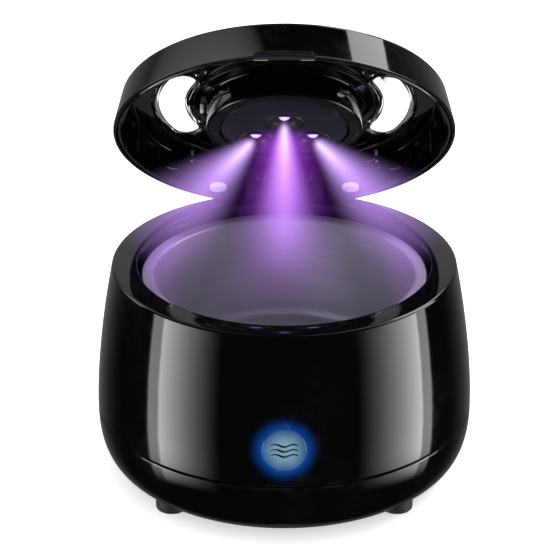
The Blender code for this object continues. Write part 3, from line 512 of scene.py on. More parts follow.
def edge_wear(t, given):
    """Lighter line where a convex edge has been rubbed, broken up by noise."""
    geometry = t.add("ShaderNodeNewGeometry")
    sharp = t.fit(geometry.outputs["Pointiness"], given["Start"], t.maths("ADD", given["Start"], 0.06))
    noise = t.add("ShaderNodeTexNoise", {"Vector": given["Vector"], "Scale": given["Scale"], "Detail": 6.0})
    broken = t.fit(noise.outputs[0], 0.38, 0.62)
    mask = t.maths("MULTIPLY", t.maths("MULTIPLY", sharp, broken), given["Amount"], clamp=True)
    return {"Mask": mask}


def settled_dust(t, given):
    """Fine specks and lint on faces that look up."""
    geometry = t.add("ShaderNodeNewGeometry")
    level = t.add("ShaderNodeSeparateXYZ", {0: geometry.outputs["Normal"]}).outputs[2]
    upward = t.fit(level, 0.35, 0.95)
    cells = t.add("ShaderNodeTexVoronoi", {"Vector": given["Vector"], "Scale": given["Scale"]})
    speck = t.fit(cells.outputs["Distance"], 0.13, 0.04)
    coarse = t.maths("MULTIPLY", given["Scale"], 0.2)
    noise = t.add("ShaderNodeTexNoise", {"Vector": given["Vector"], "Scale": coarse})
    speck = t.maths("MULTIPLY", speck, t.fit(noise.outputs[0], 0.5, 0.62))
    mask = t.maths("MULTIPLY", t.maths("MULTIPLY", speck, upward), given["Amount"], clamp=True)
    return {"Mask": mask}


def moulded_skin(t, given):
    """Height of a moulded surface: a soft ripple with a fine grain on it."""
    ripple = t.add("ShaderNodeTexNoise", {"Vector": given["Vector"], "Scale": given["Scale"], "Detail": 1.0})
    grain_scale = t.maths("MULTIPLY", given["Scale"], 14.0)
    grain = t.add("ShaderNodeTexNoise", {"Vector": given["Vector"], "Scale": grain_scale, "Detail": 2.0})
    grain = t.maths("MULTIPLY", grain.outputs[0], given["Grain"])
    return {"Height": t.maths("ADD", ripple.outputs[0], grain)}


def brushed_round(t, given):
    """Fine lines that run round the Z axis, with a few longer and deeper ones."""
    parts = t.add("ShaderNodeSeparateXYZ", {0: given["Vector"]})
    x, y, z = parts.outputs
    angle = t.maths("ARCTAN2", y, x)
    radius = t.maths("SQRT", t.maths("ADD", t.maths("MULTIPLY", x, x), t.maths("MULTIPLY", y, y)))
    turn = t.maths("COSINE", angle)
    side = t.maths("SINE", angle)
    along = t.maths("MULTIPLY", z, given["Fineness"])
    out = t.maths("MULTIPLY", radius, given["Fineness"])
    place = t.add("ShaderNodeCombineXYZ", {0: turn, 1: side, 2: t.maths("ADD", along, out)}).outputs[0]
    fine = t.add("ShaderNodeTexNoise", {"Vector": place, "Scale": 3.0, "Detail": 8.0, "Roughness": 0.75})
    long = t.add("ShaderNodeTexNoise", {"Vector": place, "Scale": 0.7, "Detail": 2.0})
    streak = t.fit(fine.outputs[0], 0.32, 0.68)
    return {"Height": streak, "Streak": t.maths("MULTIPLY", streak, t.fit(long.outputs[0], 0.3, 0.7))}


VECTOR = ("Vector", "NodeSocketVector", None)


def shared_groups():
    """Every shared surface effect, by name."""
    value = "NodeSocketFloat"
    table = {
        "Handling Marks": ([VECTOR, ("Scale", value, 40.0), ("Roughness", value, 0.1), ("Amount", value, 0.1)],
                           [("Roughness", value), ("Mask", value)], handling_marks),
        "Edge Wear": ([VECTOR, ("Scale", value, 300.0), ("Start", value, 0.52), ("Amount", value, 0.4)],
                      [("Mask", value)], edge_wear),
        "Settled Dust": ([VECTOR, ("Scale", value, 900.0), ("Amount", value, 0.3)], [("Mask", value)],
                         settled_dust),
        "Moulded Skin": ([VECTOR, ("Scale", value, 200.0), ("Grain", value, 0.2)], [("Height", value)],
                         moulded_skin),
        "Brushed Round": ([VECTOR, ("Fineness", value, 900.0)], [("Height", value), ("Streak", value)],
                          brushed_round),
    }
    return {name: shader_group(name, *spec) for name, spec in table.items()}


class Finish(Tree):
    """A material under construction, with its Principled shader and its surface coordinates."""

    def __init__(self, name, roughness=0.4, metallic=0.0, colour=None, **plain):
        self.material = bpy.data.materials.new(name)
        self.material.use_nodes = True
        super().__init__(self.material.node_tree)
        self.shader = self.tree.nodes["Principled BSDF"]
        self.place = self.add("ShaderNodeTexCoord").outputs["Object"]
        self.shader.inputs["Roughness"].default_value = roughness
        self.shader.inputs["Metallic"].default_value = metallic
        if colour is not None:
            self.shader.inputs["Base Color"].default_value = (*colour, 1.0)
        for key, value in plain.items():
            self.shader.inputs[key.replace("_", " ").title().replace("Ior", "IOR")].default_value = value

    def group(self, name, **values):
        node = self.add("ShaderNodeGroup")
        node.node_tree = made["groups"][name]
        self.tree.links.new(values.pop("vector", self.place), node.inputs["Vector"])
        for key, value in values.items():
            target = node.inputs[key.title()]
            if isinstance(value, bpy.types.NodeSocket):
                self.tree.links.new(value, target)
            else:
                target.default_value = value
        return node.outputs

    def feed(self, name, value):
        self.tree.links.new(value, self.shader.inputs[name])

    def bump(self, height, distance, strength=0.5):
        node = self.add("ShaderNodeBump", {"Height": height, "Distance": distance, "Strength": strength})
        self.feed("Normal", node.outputs[0])


def lighter(colour, amount):
    return [c + (1 - c) * amount for c in colour]


def moulded(name, colour, roughness, marks=0.06, skin=(220.0, 0.05, 0.00002), wear=0.25, dust=0.25):
    """Moulded plastic: smudged gloss, a faint skin, rubbed edges and settled dust."""
    f = Finish(name, roughness)
    smudge = f.group("Handling Marks", scale=38.0, roughness=roughness, amount=marks)
    rubbed = f.group("Edge Wear", amount=wear)["Mask"]
    dusty = f.group("Settled Dust", amount=dust)["Mask"]
    base = f.mix(smudge["Mask"], colour, lighter(colour, 0.004))
    base = f.mix(rubbed, base, lighter(colour, 0.06))
    f.feed("Base Color", f.mix(dusty, base, lighter(colour, 0.22)))
    f.feed("Roughness", f.maths("ADD", smudge["Roughness"], f.maths("MULTIPLY", dusty, 0.4)))
    f.bump(f.group("Moulded Skin", scale=skin[0], grain=skin[1])["Height"], skin[2])
    return f


def gloss_black():
    return moulded("gloss_black", colours().casing, 0.055, marks=0.05).material


def casing_black():
    """Glossy casing with a painted glow round the button: the casing itself emits colour that fades out from
    the button's middle.
    """
    s = sizes()
    f = moulded("casing_black", colours().casing, 0.055, marks=0.05)
    middle = (0.0, -outline_radius(s.button_height), s.button_height)
    # Painted glow: the casing emits the halo colour near the button, and less further from its middle.
    away = f.vector("DISTANCE", f.place, middle, out="Value")
    glow = f.fit(away, s.button_radius * 2.0, s.button_radius * 0.95, smooth=True)
    glow = f.maths("POWER", glow, 3.5)
    f.feed("Emission Color", f.mix(glow, (0.0, 0.0, 0.0), colours().painted_halo))
    f.shader.inputs["Emission Strength"].default_value = 1.0
    return f.material


def satin_black():
    return moulded("satin_black", colours().satin, 0.36, marks=0.1, skin=(600.0, 0.6, 0.00004)).material


def rubber():
    f = moulded("rubber_black", colours().rubber, 0.62, marks=0.15, skin=(900.0, 0.8, 0.00006), wear=0.5,
                dust=0.7)
    return f.material


def brushed_steel():
    """Deep-drawn steel, brushed round its axis, with water marks."""
    f = Finish("brushed_steel", 0.34, 0.72, anisotropic=0.35)
    lines = f.group("Brushed Round", fineness=700.0)
    marks = f.group("Handling Marks", scale=55.0, roughness=0.32, amount=0.07)
    tone = f.mix(lines["Streak"], [c * 0.95 for c in colours().steel], lighter(colours().steel, 0.12))
    drops = f.add("ShaderNodeTexVoronoi", {"Vector": f.place, "Scale": 420.0})
    ring = f.fit(drops.outputs["Distance"], 0.30, 0.34)
    ring = f.maths("MULTIPLY", ring, f.fit(drops.outputs["Distance"], 0.40, 0.36))
    ring = f.maths("MULTIPLY", ring, f.fit(marks["Mask"], 0.25, 0.9, 0.0, 0.5))
    f.feed("Base Color", f.mix(ring, tone, lighter(colours().steel, 0.35)))
    streaked = f.maths("MULTIPLY", lines["Streak"], 0.10)
    f.feed("Roughness", f.maths("ADD", marks["Roughness"], streaked))
    f.bump(lines["Height"], 0.000003, 0.12)
    return f.material


def plain_metal(name, colour, roughness, scale=260.0):
    f = Finish(name, roughness, 1.0)
    marks = f.group("Handling Marks", scale=scale, roughness=roughness, amount=0.16)
    rubbed = f.group("Edge Wear", amount=0.5, scale=900.0)["Mask"]
    tone = f.mix(marks["Mask"], colour, [c * 0.82 for c in colour])
    f.feed("Base Color", f.mix(rubbed, tone, lighter(colour, 0.3)))
    f.feed("Roughness", marks["Roughness"])
    f.bump(f.group("Moulded Skin", scale=1400.0, grain=0.5)["Height"], 0.00002, 0.4)
    return f.material


def ceramic():
    f = Finish("piezo_ceramic", 0.5)
    noise = f.add("ShaderNodeTexNoise", {"Vector": f.place, "Scale": 1800.0, "Detail": 6.0})
    parts = f.add("ShaderNodeSeparateXYZ", {0: f.place})
    flat = f.add("ShaderNodeCombineXYZ", {0: parts.outputs[0], 1: parts.outputs[1]}).outputs[0]
    from_axis = f.vector("LENGTH", flat, out="Value")
    silvered = f.fit(from_axis, 0.0148, 0.0146)
    fired = f.mix(noise.outputs[0], (0.70, 0.65, 0.54), (0.84, 0.80, 0.70))
    f.feed("Base Color", f.mix(silvered, fired, (0.80, 0.80, 0.79)))
    f.feed("Roughness", f.fit(noise.outputs[0], 0.3, 0.7, 0.35, 0.6))
    f.bump(noise.outputs[0], 0.00002, 0.4)
    return f.material


def circuit_board():
    """Green solder mask with tracks and plated holes."""
    f = Finish("circuit_board", 0.35)
    tracks = f.add("ShaderNodeTexBrick", {"Vector": f.place, "Scale": 190.0, "Mortar Size": 0.012,
                                          "Mortar Smooth": 0.2, "Brick Width": 1.7, "Row Height": 0.45})
    tracks.offset = 0.37
    track = f.fit(tracks.outputs["Fac"], 0.3, 0.7)
    holes = f.add("ShaderNodeTexVoronoi", {"Vector": f.place, "Scale": 210.0})
    pad = f.fit(holes.outputs["Distance"], 0.16, 0.13)
    green = f.mix(track, (0.010, 0.115, 0.045), (0.028, 0.22, 0.085))
    f.feed("Base Color", f.mix(pad, green, (0.62, 0.50, 0.26)))
    f.feed("Roughness", f.fit(track, 0.0, 1.0, 0.30, 0.42))
    f.bump(f.maths("ADD", track, pad), 0.00004, 0.6)
    return f.material


def copper_wire():
    f = Finish("copper_winding", 0.28, 1.0)
    noise = f.add("ShaderNodeTexNoise", {"Vector": f.place, "Scale": 900.0, "Detail": 4.0})
    f.feed("Base Color", f.mix(noise.outputs[0], (0.62, 0.24, 0.09), (0.90, 0.45, 0.22)))
    f.feed("Roughness", f.fit(noise.outputs[0], 0.3, 0.7, 0.2, 0.4))
    return f.material


def clear_window():
    """Clear plastic: plain transmission, with faint scratches in its gloss."""
    f = Finish("clear_window", 0.02, colour=colours().window, transmission_weight=1.0, ior=1.46)
    fine = f.group("Handling Marks", scale=120.0, roughness=0.015, amount=0.05)
    f.feed("Roughness", fine["Roughness"])
    f.bump(f.group("Moulded Skin", scale=160.0, grain=0.02)["Height"], 0.00001, 0.2)
    return f.material


def smoked_lens():
    f = moulded("smoked_lens", (0.006, 0.005, 0.008), 0.10, marks=0.08, skin=(240.0, 0.05, 0.00002))
    f.shader.inputs["Coat Weight"].default_value = 0.6
    f.shader.inputs["Coat Roughness"].default_value = 0.04
    return f.material


def lit_button():
    """Milky plastic lit from behind: brightest a little off its middle, deeper blue at its rim."""
    s = sizes()
    f = Finish("lit_button", 0.22)
    middle = (0.0, -outline_radius(s.button_height), s.button_height)
    away = f.vector("DISTANCE", f.place, middle, out="Value")
    rim = f.fit(away, s.button_radius * 0.30, s.button_radius * 1.05)
    cloud = f.add("ShaderNodeTexNoise", {"Vector": f.place, "Scale": 240.0, "Detail": 3.0})
    rim = f.maths("ADD", rim, f.fit(cloud.outputs[0], 0.35, 0.65, -0.06, 0.06), clamp=True)
    glow = f.mix(rim, lighter(colours().button, 0.16), colours().painted_halo)
    f.feed("Emission Color", glow)
    f.shader.inputs["Emission Strength"].default_value = 0.36
    f.feed("Base Color", f.mix(rim, (0.09, 0.17, 0.21), (0.02, 0.05, 0.11)))
    marks = f.group("Handling Marks", scale=300.0, roughness=0.16, amount=0.12)
    f.feed("Roughness", marks["Roughness"])
    f.bump(f.group("Moulded Skin", scale=900.0, grain=0.4)["Height"], 0.00002, 0.4)
    return f.material


def wave_mark():
    """Dark, part-silvered paint of the wavy marks."""
    f = Finish("wave_mark", 0.3, 0.8)
    parts = f.add("ShaderNodeSeparateXYZ", {0: f.place})
    sweep = f.maths("SINE", f.maths("MULTIPLY", parts.outputs[0], 1300.0))
    f.feed("Base Color", f.mix(f.fit(sweep, -0.9, 0.9, smooth=True), (0.004, 0.012, 0.022), (0.16, 0.22, 0.26)))
    return f.material


def violet_lamp():
    """Moulded lamp dome, white-hot at its tip."""
    f = Finish("violet_lamp", 0.2)
    face = f.add("ShaderNodeNewGeometry").outputs["Normal"]
    down = (LID_PLACE.to_3x3() @ Vector((0.0, 0.0, -1.0)))
    facing = f.vector("DOT_PRODUCT", face, tuple(down), out="Value")
    hot = f.fit(facing, 0.0, 0.9, smooth=True)
    grain = f.add("ShaderNodeTexNoise", {"Vector": f.place, "Scale": 700.0})
    base = f.mix(grain.outputs[0], (0.45, 0.28, 0.85), (0.60, 0.42, 0.95))
    f.feed("Base Color", base)
    f.feed("Emission Color", f.mix(hot, colours().lamp, (0.85, 0.62, 1.0)))
    f.shader.inputs["Emission Strength"].default_value = 0.7
    return f.material


def make_finishes():
    """Every finish, by the name of the slot that it stands for."""
    made["groups"] = shared_groups()
    return {
        "gloss_black": gloss_black(),
        "casing_black": casing_black(),
        "satin_black": satin_black(),
        "rubber_black": rubber(),
        "brushed_steel": brushed_steel(),
        "bright_steel": plain_metal("bright_steel", (0.66, 0.66, 0.67), 0.22),
        "aluminium": plain_metal("aluminium", (0.72, 0.72, 0.74), 0.34, 400.0),
        "piezo_ceramic": ceramic(),
        "circuit_board": circuit_board(),
        "copper_winding": copper_wire(),
        "pale_plastic": moulded("pale_plastic", (0.68, 0.66, 0.58), 0.42, skin=(500.0, 0.5, 0.00003)).material,
        "grey_plastic": moulded("grey_plastic", (0.42, 0.42, 0.43), 0.38, skin=(500.0, 0.5, 0.00003)).material,
        "pad_plastic": moulded("pad_plastic", (0.75, 0.73, 0.76), 0.35, skin=(500.0, 0.5, 0.00003)).material,
        "red_plastic": moulded("red_plastic", (0.50, 0.02, 0.02), 0.40, skin=(900.0, 0.5, 0.00003)).material,
        "clear_window": clear_window(),
        "smoked_lens": smoked_lens(),
        "lit_button": lit_button(),
        "wave_mark": wave_mark(),
        "violet_lamp": violet_lamp(),
    }


# ---------------------------------------------------------------- geometry node trees

def geometry_tree(name, inputs):
    """Empty geometry node tree with named inputs; gives back the tools, its inputs and its output node."""
    group = bpy.data.node_groups.new(name, "GeometryNodeTree")
    group.interface.new_socket("Geometry", in_out="INPUT", socket_type="NodeSocketGeometry")
    for label, kind, default in inputs:
        socket = group.interface.new_socket(label, in_out="INPUT", socket_type=kind)
        if default is not None:
            socket.default_value = default
    group.interface.new_socket("Material", in_out="INPUT", socket_type="NodeSocketMaterial")
    group.interface.new_socket("Geometry", in_out="OUTPUT", socket_type="NodeSocketGeometry")
    tree = Tree(group)
    return tree, tree.add("NodeGroupInput").outputs, tree.add("NodeGroupOutput")


def close_tree(tree, given, target, shape):
    """Ends a tree in Realize Instances and Set Material."""
    real = tree.add("GeometryNodeRealizeInstances", {"Geometry": shape})
    last = tree.add("GeometryNodeSetMaterial", {"Geometry": real.outputs[0], "Material": given["Material"]})
    tree.tree.links.new(last.outputs[0], target.inputs[0])
    return tree.tree


def applied(item, group, material, **values):
    """Runs a geometry node tree on an object; each value is set by its socket's identifier."""
    modifier = item.modifiers.new(group.name, "NODES")
    modifier.node_group = group
    values["Material"] = material
    for socket in group.interface.items_tree:
        if socket.in_out == "INPUT" and socket.name in values:
            modifier[socket.identifier] = values[socket.name]
    return item


FLOAT = "NodeSocketFloat"


def bulged_wall_tree():
    """Moves every point that has an inset of 0 or more onto the casing's rule, less that inset."""
    t, given, target = geometry_tree("Bulged Wall", [
        ("Rim Height", FLOAT, 0.071), ("Rim Radius", FLOAT, 0.0555), ("Belly Height", FLOAT, 0.022),
        ("Belly Radius", FLOAT, 0.0613), ("Shoulder Power", FLOAT, 1.7)])
    inset = t.add("GeometryNodeInputNamedAttribute", {"Name": "inset"}, data_type="FLOAT").outputs[0]
    place = t.add("GeometryNodeInputPosition").outputs[0]
    parts = t.add("ShaderNodeSeparateXYZ", {0: place}).outputs
    span = t.maths("SUBTRACT", given["Rim Height"], given["Belly Height"])
    rise = t.maths("DIVIDE", t.maths("SUBTRACT", parts[2], given["Belly Height"]), span)
    rise = t.maths("MAXIMUM", rise, 0.0)
    loss = t.maths("SUBTRACT", given["Belly Radius"], given["Rim Radius"])
    loss = t.maths("MULTIPLY", loss, t.maths("POWER", rise, given["Shoulder Power"]))
    wanted = t.maths("SUBTRACT", t.maths("SUBTRACT", given["Belly Radius"], loss), inset)
    squared = t.maths("ADD", t.maths("MULTIPLY", parts[0], parts[0]), t.maths("MULTIPLY", parts[1], parts[1]))
    scale = t.maths("DIVIDE", wanted, t.maths("SQRT", squared))
    spot = t.add("ShaderNodeCombineXYZ", {0: t.maths("MULTIPLY", parts[0], scale),
                                          1: t.maths("MULTIPLY", parts[1], scale), 2: parts[2]}).outputs[0]
    follows = t.add("FunctionNodeCompare", {0: inset, 1: -0.5}, data_type="FLOAT", operation="GREATER_THAN")
    shaped = t.add("GeometryNodeSetPosition", {"Geometry": given["Geometry"], "Selection": follows.outputs[0],
                                               "Position": spot})
    return close_tree(t, given, target, shaped.outputs[0])


def threaded_screw_tree():
    """One threaded pan-head screw on each point, along the point's aim."""
    t, given, target = geometry_tree("Threaded Screws", [
        ("Head Radius", FLOAT, 0.0024), ("Head Height", FLOAT, 0.0015), ("Shank Radius", FLOAT, 0.001),
        ("Length", FLOAT, 0.010), ("Pitch", FLOAT, 0.0008)])
    rim = t.maths("MULTIPLY", given["Head Height"], 0.3)
    low = t.add("GeometryNodeMeshCone", {"Vertices": 32, "Radius Top": given["Head Radius"], "Depth": rim,
                                         "Radius Bottom": t.maths("MULTIPLY", given["Head Radius"], 0.72)})
    body_depth = t.maths("MULTIPLY", given["Head Height"], 0.7)
    top = t.add("GeometryNodeMeshCylinder", {"Vertices": 32, "Radius": given["Head Radius"],
                                             "Depth": body_depth})
    lift = t.add("ShaderNodeCombineXYZ", {2: t.maths("ADD", rim, t.maths("MULTIPLY", body_depth, 0.5))})
    raised = t.add("GeometryNodeTransform", {"Geometry": top.outputs[0], "Translation": lift.outputs[0]})
    head = t.add("GeometryNodeMeshBoolean", operation="UNION")
    for part in (low.outputs[0], raised.outputs[0]):
        t.tree.links.new(part, head.inputs["Mesh 2"])
    arm = t.maths("MULTIPLY", given["Head Radius"], 1.15)
    thin = t.maths("MULTIPLY", given["Head Radius"], 0.22)
    deep = t.maths("MULTIPLY", given["Head Height"], 0.9)
    cutter = t.add("GeometryNodeMeshBoolean", operation="DIFFERENCE")
    t.tree.links.new(head.outputs[0], cutter.inputs["Mesh 1"])
    for size in ((arm, thin), (thin, arm)):
        measure = t.add("ShaderNodeCombineXYZ", {0: size[0], 1: size[1], 2: deep})
        bar_shape = t.add("GeometryNodeMeshCube", {"Size": measure.outputs[0]})
        t.tree.links.new(bar_shape.outputs[0], cutter.inputs["Mesh 2"])
    shank_length = t.maths("SUBTRACT", given["Length"], given["Head Height"])
    core_radius = t.maths("MULTIPLY", given["Shank Radius"], 0.82)
    shank = t.add("GeometryNodeMeshCylinder", {"Vertices": 20, "Radius": core_radius, "Depth": shank_length})
    half_way = t.maths("ADD", given["Head Height"], t.maths("MULTIPLY", shank_length, 0.5))
    middle = t.add("ShaderNodeCombineXYZ", {2: half_way})
    shank = t.add("GeometryNodeTransform", {"Geometry": shank.outputs[0], "Translation": middle.outputs[0]})
    turns = t.maths("DIVIDE", shank_length, given["Pitch"])
    rib_radius = t.maths("MULTIPLY", given["Shank Radius"], 0.86)
    spiral = t.add("GeometryNodeCurveSpiral", {"Resolution": 16, "Rotations": turns, "Start Radius": rib_radius,
                                               "End Radius": rib_radius, "Height": shank_length})
    start = t.add("ShaderNodeCombineXYZ", {2: given["Head Height"]})
    spiral = t.add("GeometryNodeTransform", {"Geometry": spiral.outputs[0], "Translation": start.outputs[0]})
    rib = t.maths("MULTIPLY", given["Shank Radius"], 0.2)
    edge = t.add("GeometryNodeCurvePrimitiveCircle", {"Resolution": 3, "Radius": rib})
    thread = t.add("GeometryNodeCurveToMesh", {"Curve": spiral.outputs[0], "Profile Curve": edge.outputs[0],
                                               "Fill Caps": True})
    whole = t.add("GeometryNodeJoinGeometry")
    for part in (cutter.outputs[0], shank.outputs[0], thread.outputs[0]):
        t.tree.links.new(part, whole.inputs[0])
    aim = t.add("GeometryNodeInputNamedAttribute", {"Name": "aim"}, data_type="FLOAT_VECTOR").outputs[0]
    turn = t.add("FunctionNodeAlignRotationToVector", {"Vector": aim}, axis="Z").outputs[0]
    laid = t.add("GeometryNodeInstanceOnPoints", {"Points": given["Geometry"], "Instance": whole.outputs[0],
                                                  "Rotation": turn})
    return close_tree(t, given, target, laid.outputs[0])


def wave_marks_tree():
    """Wavy strokes of one width, one above the other, on the plane of the point they start from."""
    t, given, target = geometry_tree("Wave Marks", [
        ("Width", FLOAT, 0.0086), ("Swing", FLOAT, 0.0004), ("Spacing", FLOAT, 0.0017),
        ("Stroke", FLOAT, 0.00026), ("Count", "NodeSocketInt", 3)])
    half = t.maths("MULTIPLY", given["Width"], 0.5)
    start = t.add("ShaderNodeCombineXYZ", {0: t.maths("MULTIPLY", half, -1.0)})
    end = t.add("ShaderNodeCombineXYZ", {0: half})
    line = t.add("GeometryNodeCurvePrimitiveLine", {"Start": start.outputs[0], "End": end.outputs[0]})
    fine = t.add("GeometryNodeResampleCurve", {"Curve": line.outputs[0], "Count": 56})
    along = t.add("GeometryNodeSplineParameter").outputs[0]
    swing = t.maths("SINE", t.maths("MULTIPLY", along, math.tau * 1.5))
    swing = t.maths("MULTIPLY", swing, given["Swing"])
    shift = t.add("ShaderNodeCombineXYZ", {1: swing})
    wavy = t.add("GeometryNodeSetPosition", {"Geometry": fine.outputs[0], "Offset": shift.outputs[0]})
    swell = t.maths("SINE", t.maths("MULTIPLY", along, math.pi))
    width = t.maths("MULTIPLY", given["Stroke"], t.maths("ADD", t.maths("MULTIPLY", swell, 0.55), 0.45))
    stroke = t.add("GeometryNodeCurvePrimitiveCircle", {"Resolution": 8, "Radius": 1.0})
    thick = t.add("GeometryNodeSetCurveRadius", {"Curve": wavy.outputs[0], "Radius": width})
    solid = t.add("GeometryNodeCurveToMesh", {"Curve": thick.outputs[0], "Profile Curve": stroke.outputs[0],
                                              "Fill Caps": True})
    if "Scale" in solid.inputs:
        t.tree.links.new(width, solid.inputs["Scale"])
    flat = t.add("GeometryNodeTransform", {"Geometry": solid.outputs[0], "Scale": (1.0, 1.0, 0.45)})
    step = t.add("ShaderNodeCombineXYZ", {1: given["Spacing"]})
    places = t.add("GeometryNodeMeshLine", {"Count": given["Count"], "Offset": step.outputs[0]})
    half_rows = t.maths("MULTIPLY", t.maths("SUBTRACT", given["Count"], 1.0), -0.5)
    back = t.maths("MULTIPLY", given["Spacing"], half_rows)
    shift_back = t.add("ShaderNodeCombineXYZ", {1: back}).outputs[0]
    centred = t.add("GeometryNodeTransform", {"Geometry": places.outputs[0], "Translation": shift_back})
    rows = t.add("GeometryNodeInstanceOnPoints", {"Points": centred.outputs[0], "Instance": flat.outputs[0]})
    return close_tree(t, given, target, rows.outputs[0])


def winding_tree():
    """Wire wound round a ring: one long helix that closes on itself."""
    t, given, target = geometry_tree("Wound Ring", [
        ("Ring Radius", FLOAT, 0.005), ("Section", FLOAT, 0.0019), ("Wire", FLOAT, 0.0003),
        ("Turns", FLOAT, 40.0), ("Height", FLOAT, 1.3)])
    line = t.add("GeometryNodeCurvePrimitiveLine")
    fine = t.add("GeometryNodeResampleCurve", {"Curve": line.outputs[0], "Count": 640})
    along = t.maths("MULTIPLY", t.add("GeometryNodeSplineParameter").outputs[0], math.tau)
    inner = t.maths("MULTIPLY", along, given["Turns"])
    out = t.maths("ADD", given["Ring Radius"], t.maths("MULTIPLY", given["Section"], t.maths("COSINE", inner)))
    up = t.maths("MULTIPLY", t.maths("MULTIPLY", given["Section"], given["Height"]), t.maths("SINE", inner))
    spot = t.add("ShaderNodeCombineXYZ", {0: t.maths("MULTIPLY", out, t.maths("COSINE", along)),
                                          1: t.maths("MULTIPLY", out, t.maths("SINE", along)), 2: up})
    wound = t.add("GeometryNodeSetPosition", {"Geometry": fine.outputs[0], "Position": spot.outputs[0]})
    section = t.add("GeometryNodeCurvePrimitiveCircle", {"Resolution": 6, "Radius": given["Wire"]})
    solid = t.add("GeometryNodeCurveToMesh", {"Curve": wound.outputs[0], "Profile Curve": section.outputs[0],
                                              "Fill Caps": True})
    laid = t.add("GeometryNodeInstanceOnPoints", {"Points": given["Geometry"], "Instance": solid.outputs[0]})
    return close_tree(t, given, target, laid.outputs[0])


def points_object(name, places, aims=None):
    """Loose points, each with the direction that its piece aims in."""
    mesh = bpy.data.meshes.new(name)
    mesh.from_pydata([tuple(place) for place in places], [], [])
    if aims:
        attribute = mesh.attributes.new("aim", "FLOAT_VECTOR", "POINT")
        for i, aim in enumerate(aims):
            attribute.data[i].vector = aim
    item = bpy.data.objects.new(name, mesh)
    bpy.context.scene.collection.objects.link(item)
    return item


def ruled(name, outline, steps):
    """Turned piece whose (radius, height, inset) points with an inset follow the casing's rule."""
    bm = bmesh.new()
    layer = bm.verts.layers.float.new("inset")
    verts = []
    for r, z, inset in outline:
        vert = bm.verts.new((max(r, 0.0) if inset == OWN_RADIUS else 1.0, 0.0, z))
        vert[layer] = inset
        verts.append(vert)
    edges = [bm.edges.new(pair) for pair in zip(verts, verts[1:])]
    if outline[0][0] > 0.0:
        edges.append(bm.edges.new((verts[-1], verts[0])))
    bmesh.ops.spin(bm, geom=verts + edges, cent=(0, 0, 0), axis=(0, 0, 1), angle=math.tau,
                   steps=steps, use_merge=True)
    item = mesh_object(name, bm)
    s = sizes()
    applied(item, made["bulged"], made["finish"]["gloss_black"], **{
        "Rim Height": s.rim_height, "Rim Radius": s.rim_radius, "Belly Height": s.belly_height,
        "Belly Radius": s.belly_radius, "Shoulder Power": s.shoulder_power})
    return bake(item)


def on_rule(heights, inset):
    return [(1.0, z, inset) for z in heights]


def plain(points):
    return [(r, z, OWN_RADIUS) for r, z in points]


# ---------------------------------------------------------------- operators

class PieceOperator:
    """What every operator of the panel shares."""

    bl_options = {"REGISTER", "UNDO"}


def opened(y, z, angle):
    """A point of the shut lid after it has swung open by an angle."""
    dy, dz = y - HINGE.y, z - HINGE.z
    return (HINGE.y + dy * math.cos(angle) + dz * math.sin(angle),
            HINGE.z - dy * math.sin(angle) + dz * math.cos(angle))


def lid_recess():
    """Scoop at the back of the rim for the lid's rear edge."""
    s = sizes()
    front = HINGE.y + 0.0010
    corner = Vector(opened(s.rim_radius, LID_Z, OPEN_LIMIT))
    crest = Vector(opened(outline_radius(LID_Z + s.lid_height), LID_Z + s.lid_height, OPEN_LIMIT))
    heel = corner + Vector((0.0006, -0.0009))
    beyond = heel + (crest - corner).normalized() * 0.020
    half = math.sqrt(s.rim_radius ** 2 - (HINGE.y + 0.0017) ** 2) + 0.0004
    outline = [(front, RIM_Z + 0.010), (front, HINGE.z - 0.0033), (corner.x - 0.0013, corner.y - 0.0012),
               tuple(heel), tuple(beyond), (beyond.x, RIM_Z + 0.010)]
    return prism("lid_recess", outline, -half, half, "X")


def button_place():
    """Matrix of the button's middle, its Z out of the casing and its X to the right."""
    s = sizes()
    step = 0.0005
    slope = (outline_radius(s.button_height - step) - outline_radius(s.button_height + step)) / (2 * step)
    middle = Matrix.Translation((0.0, -outline_radius(s.button_height), s.button_height))
    return middle @ Matrix.Rotation(math.pi / 2 - math.atan(slope), 4, "X")


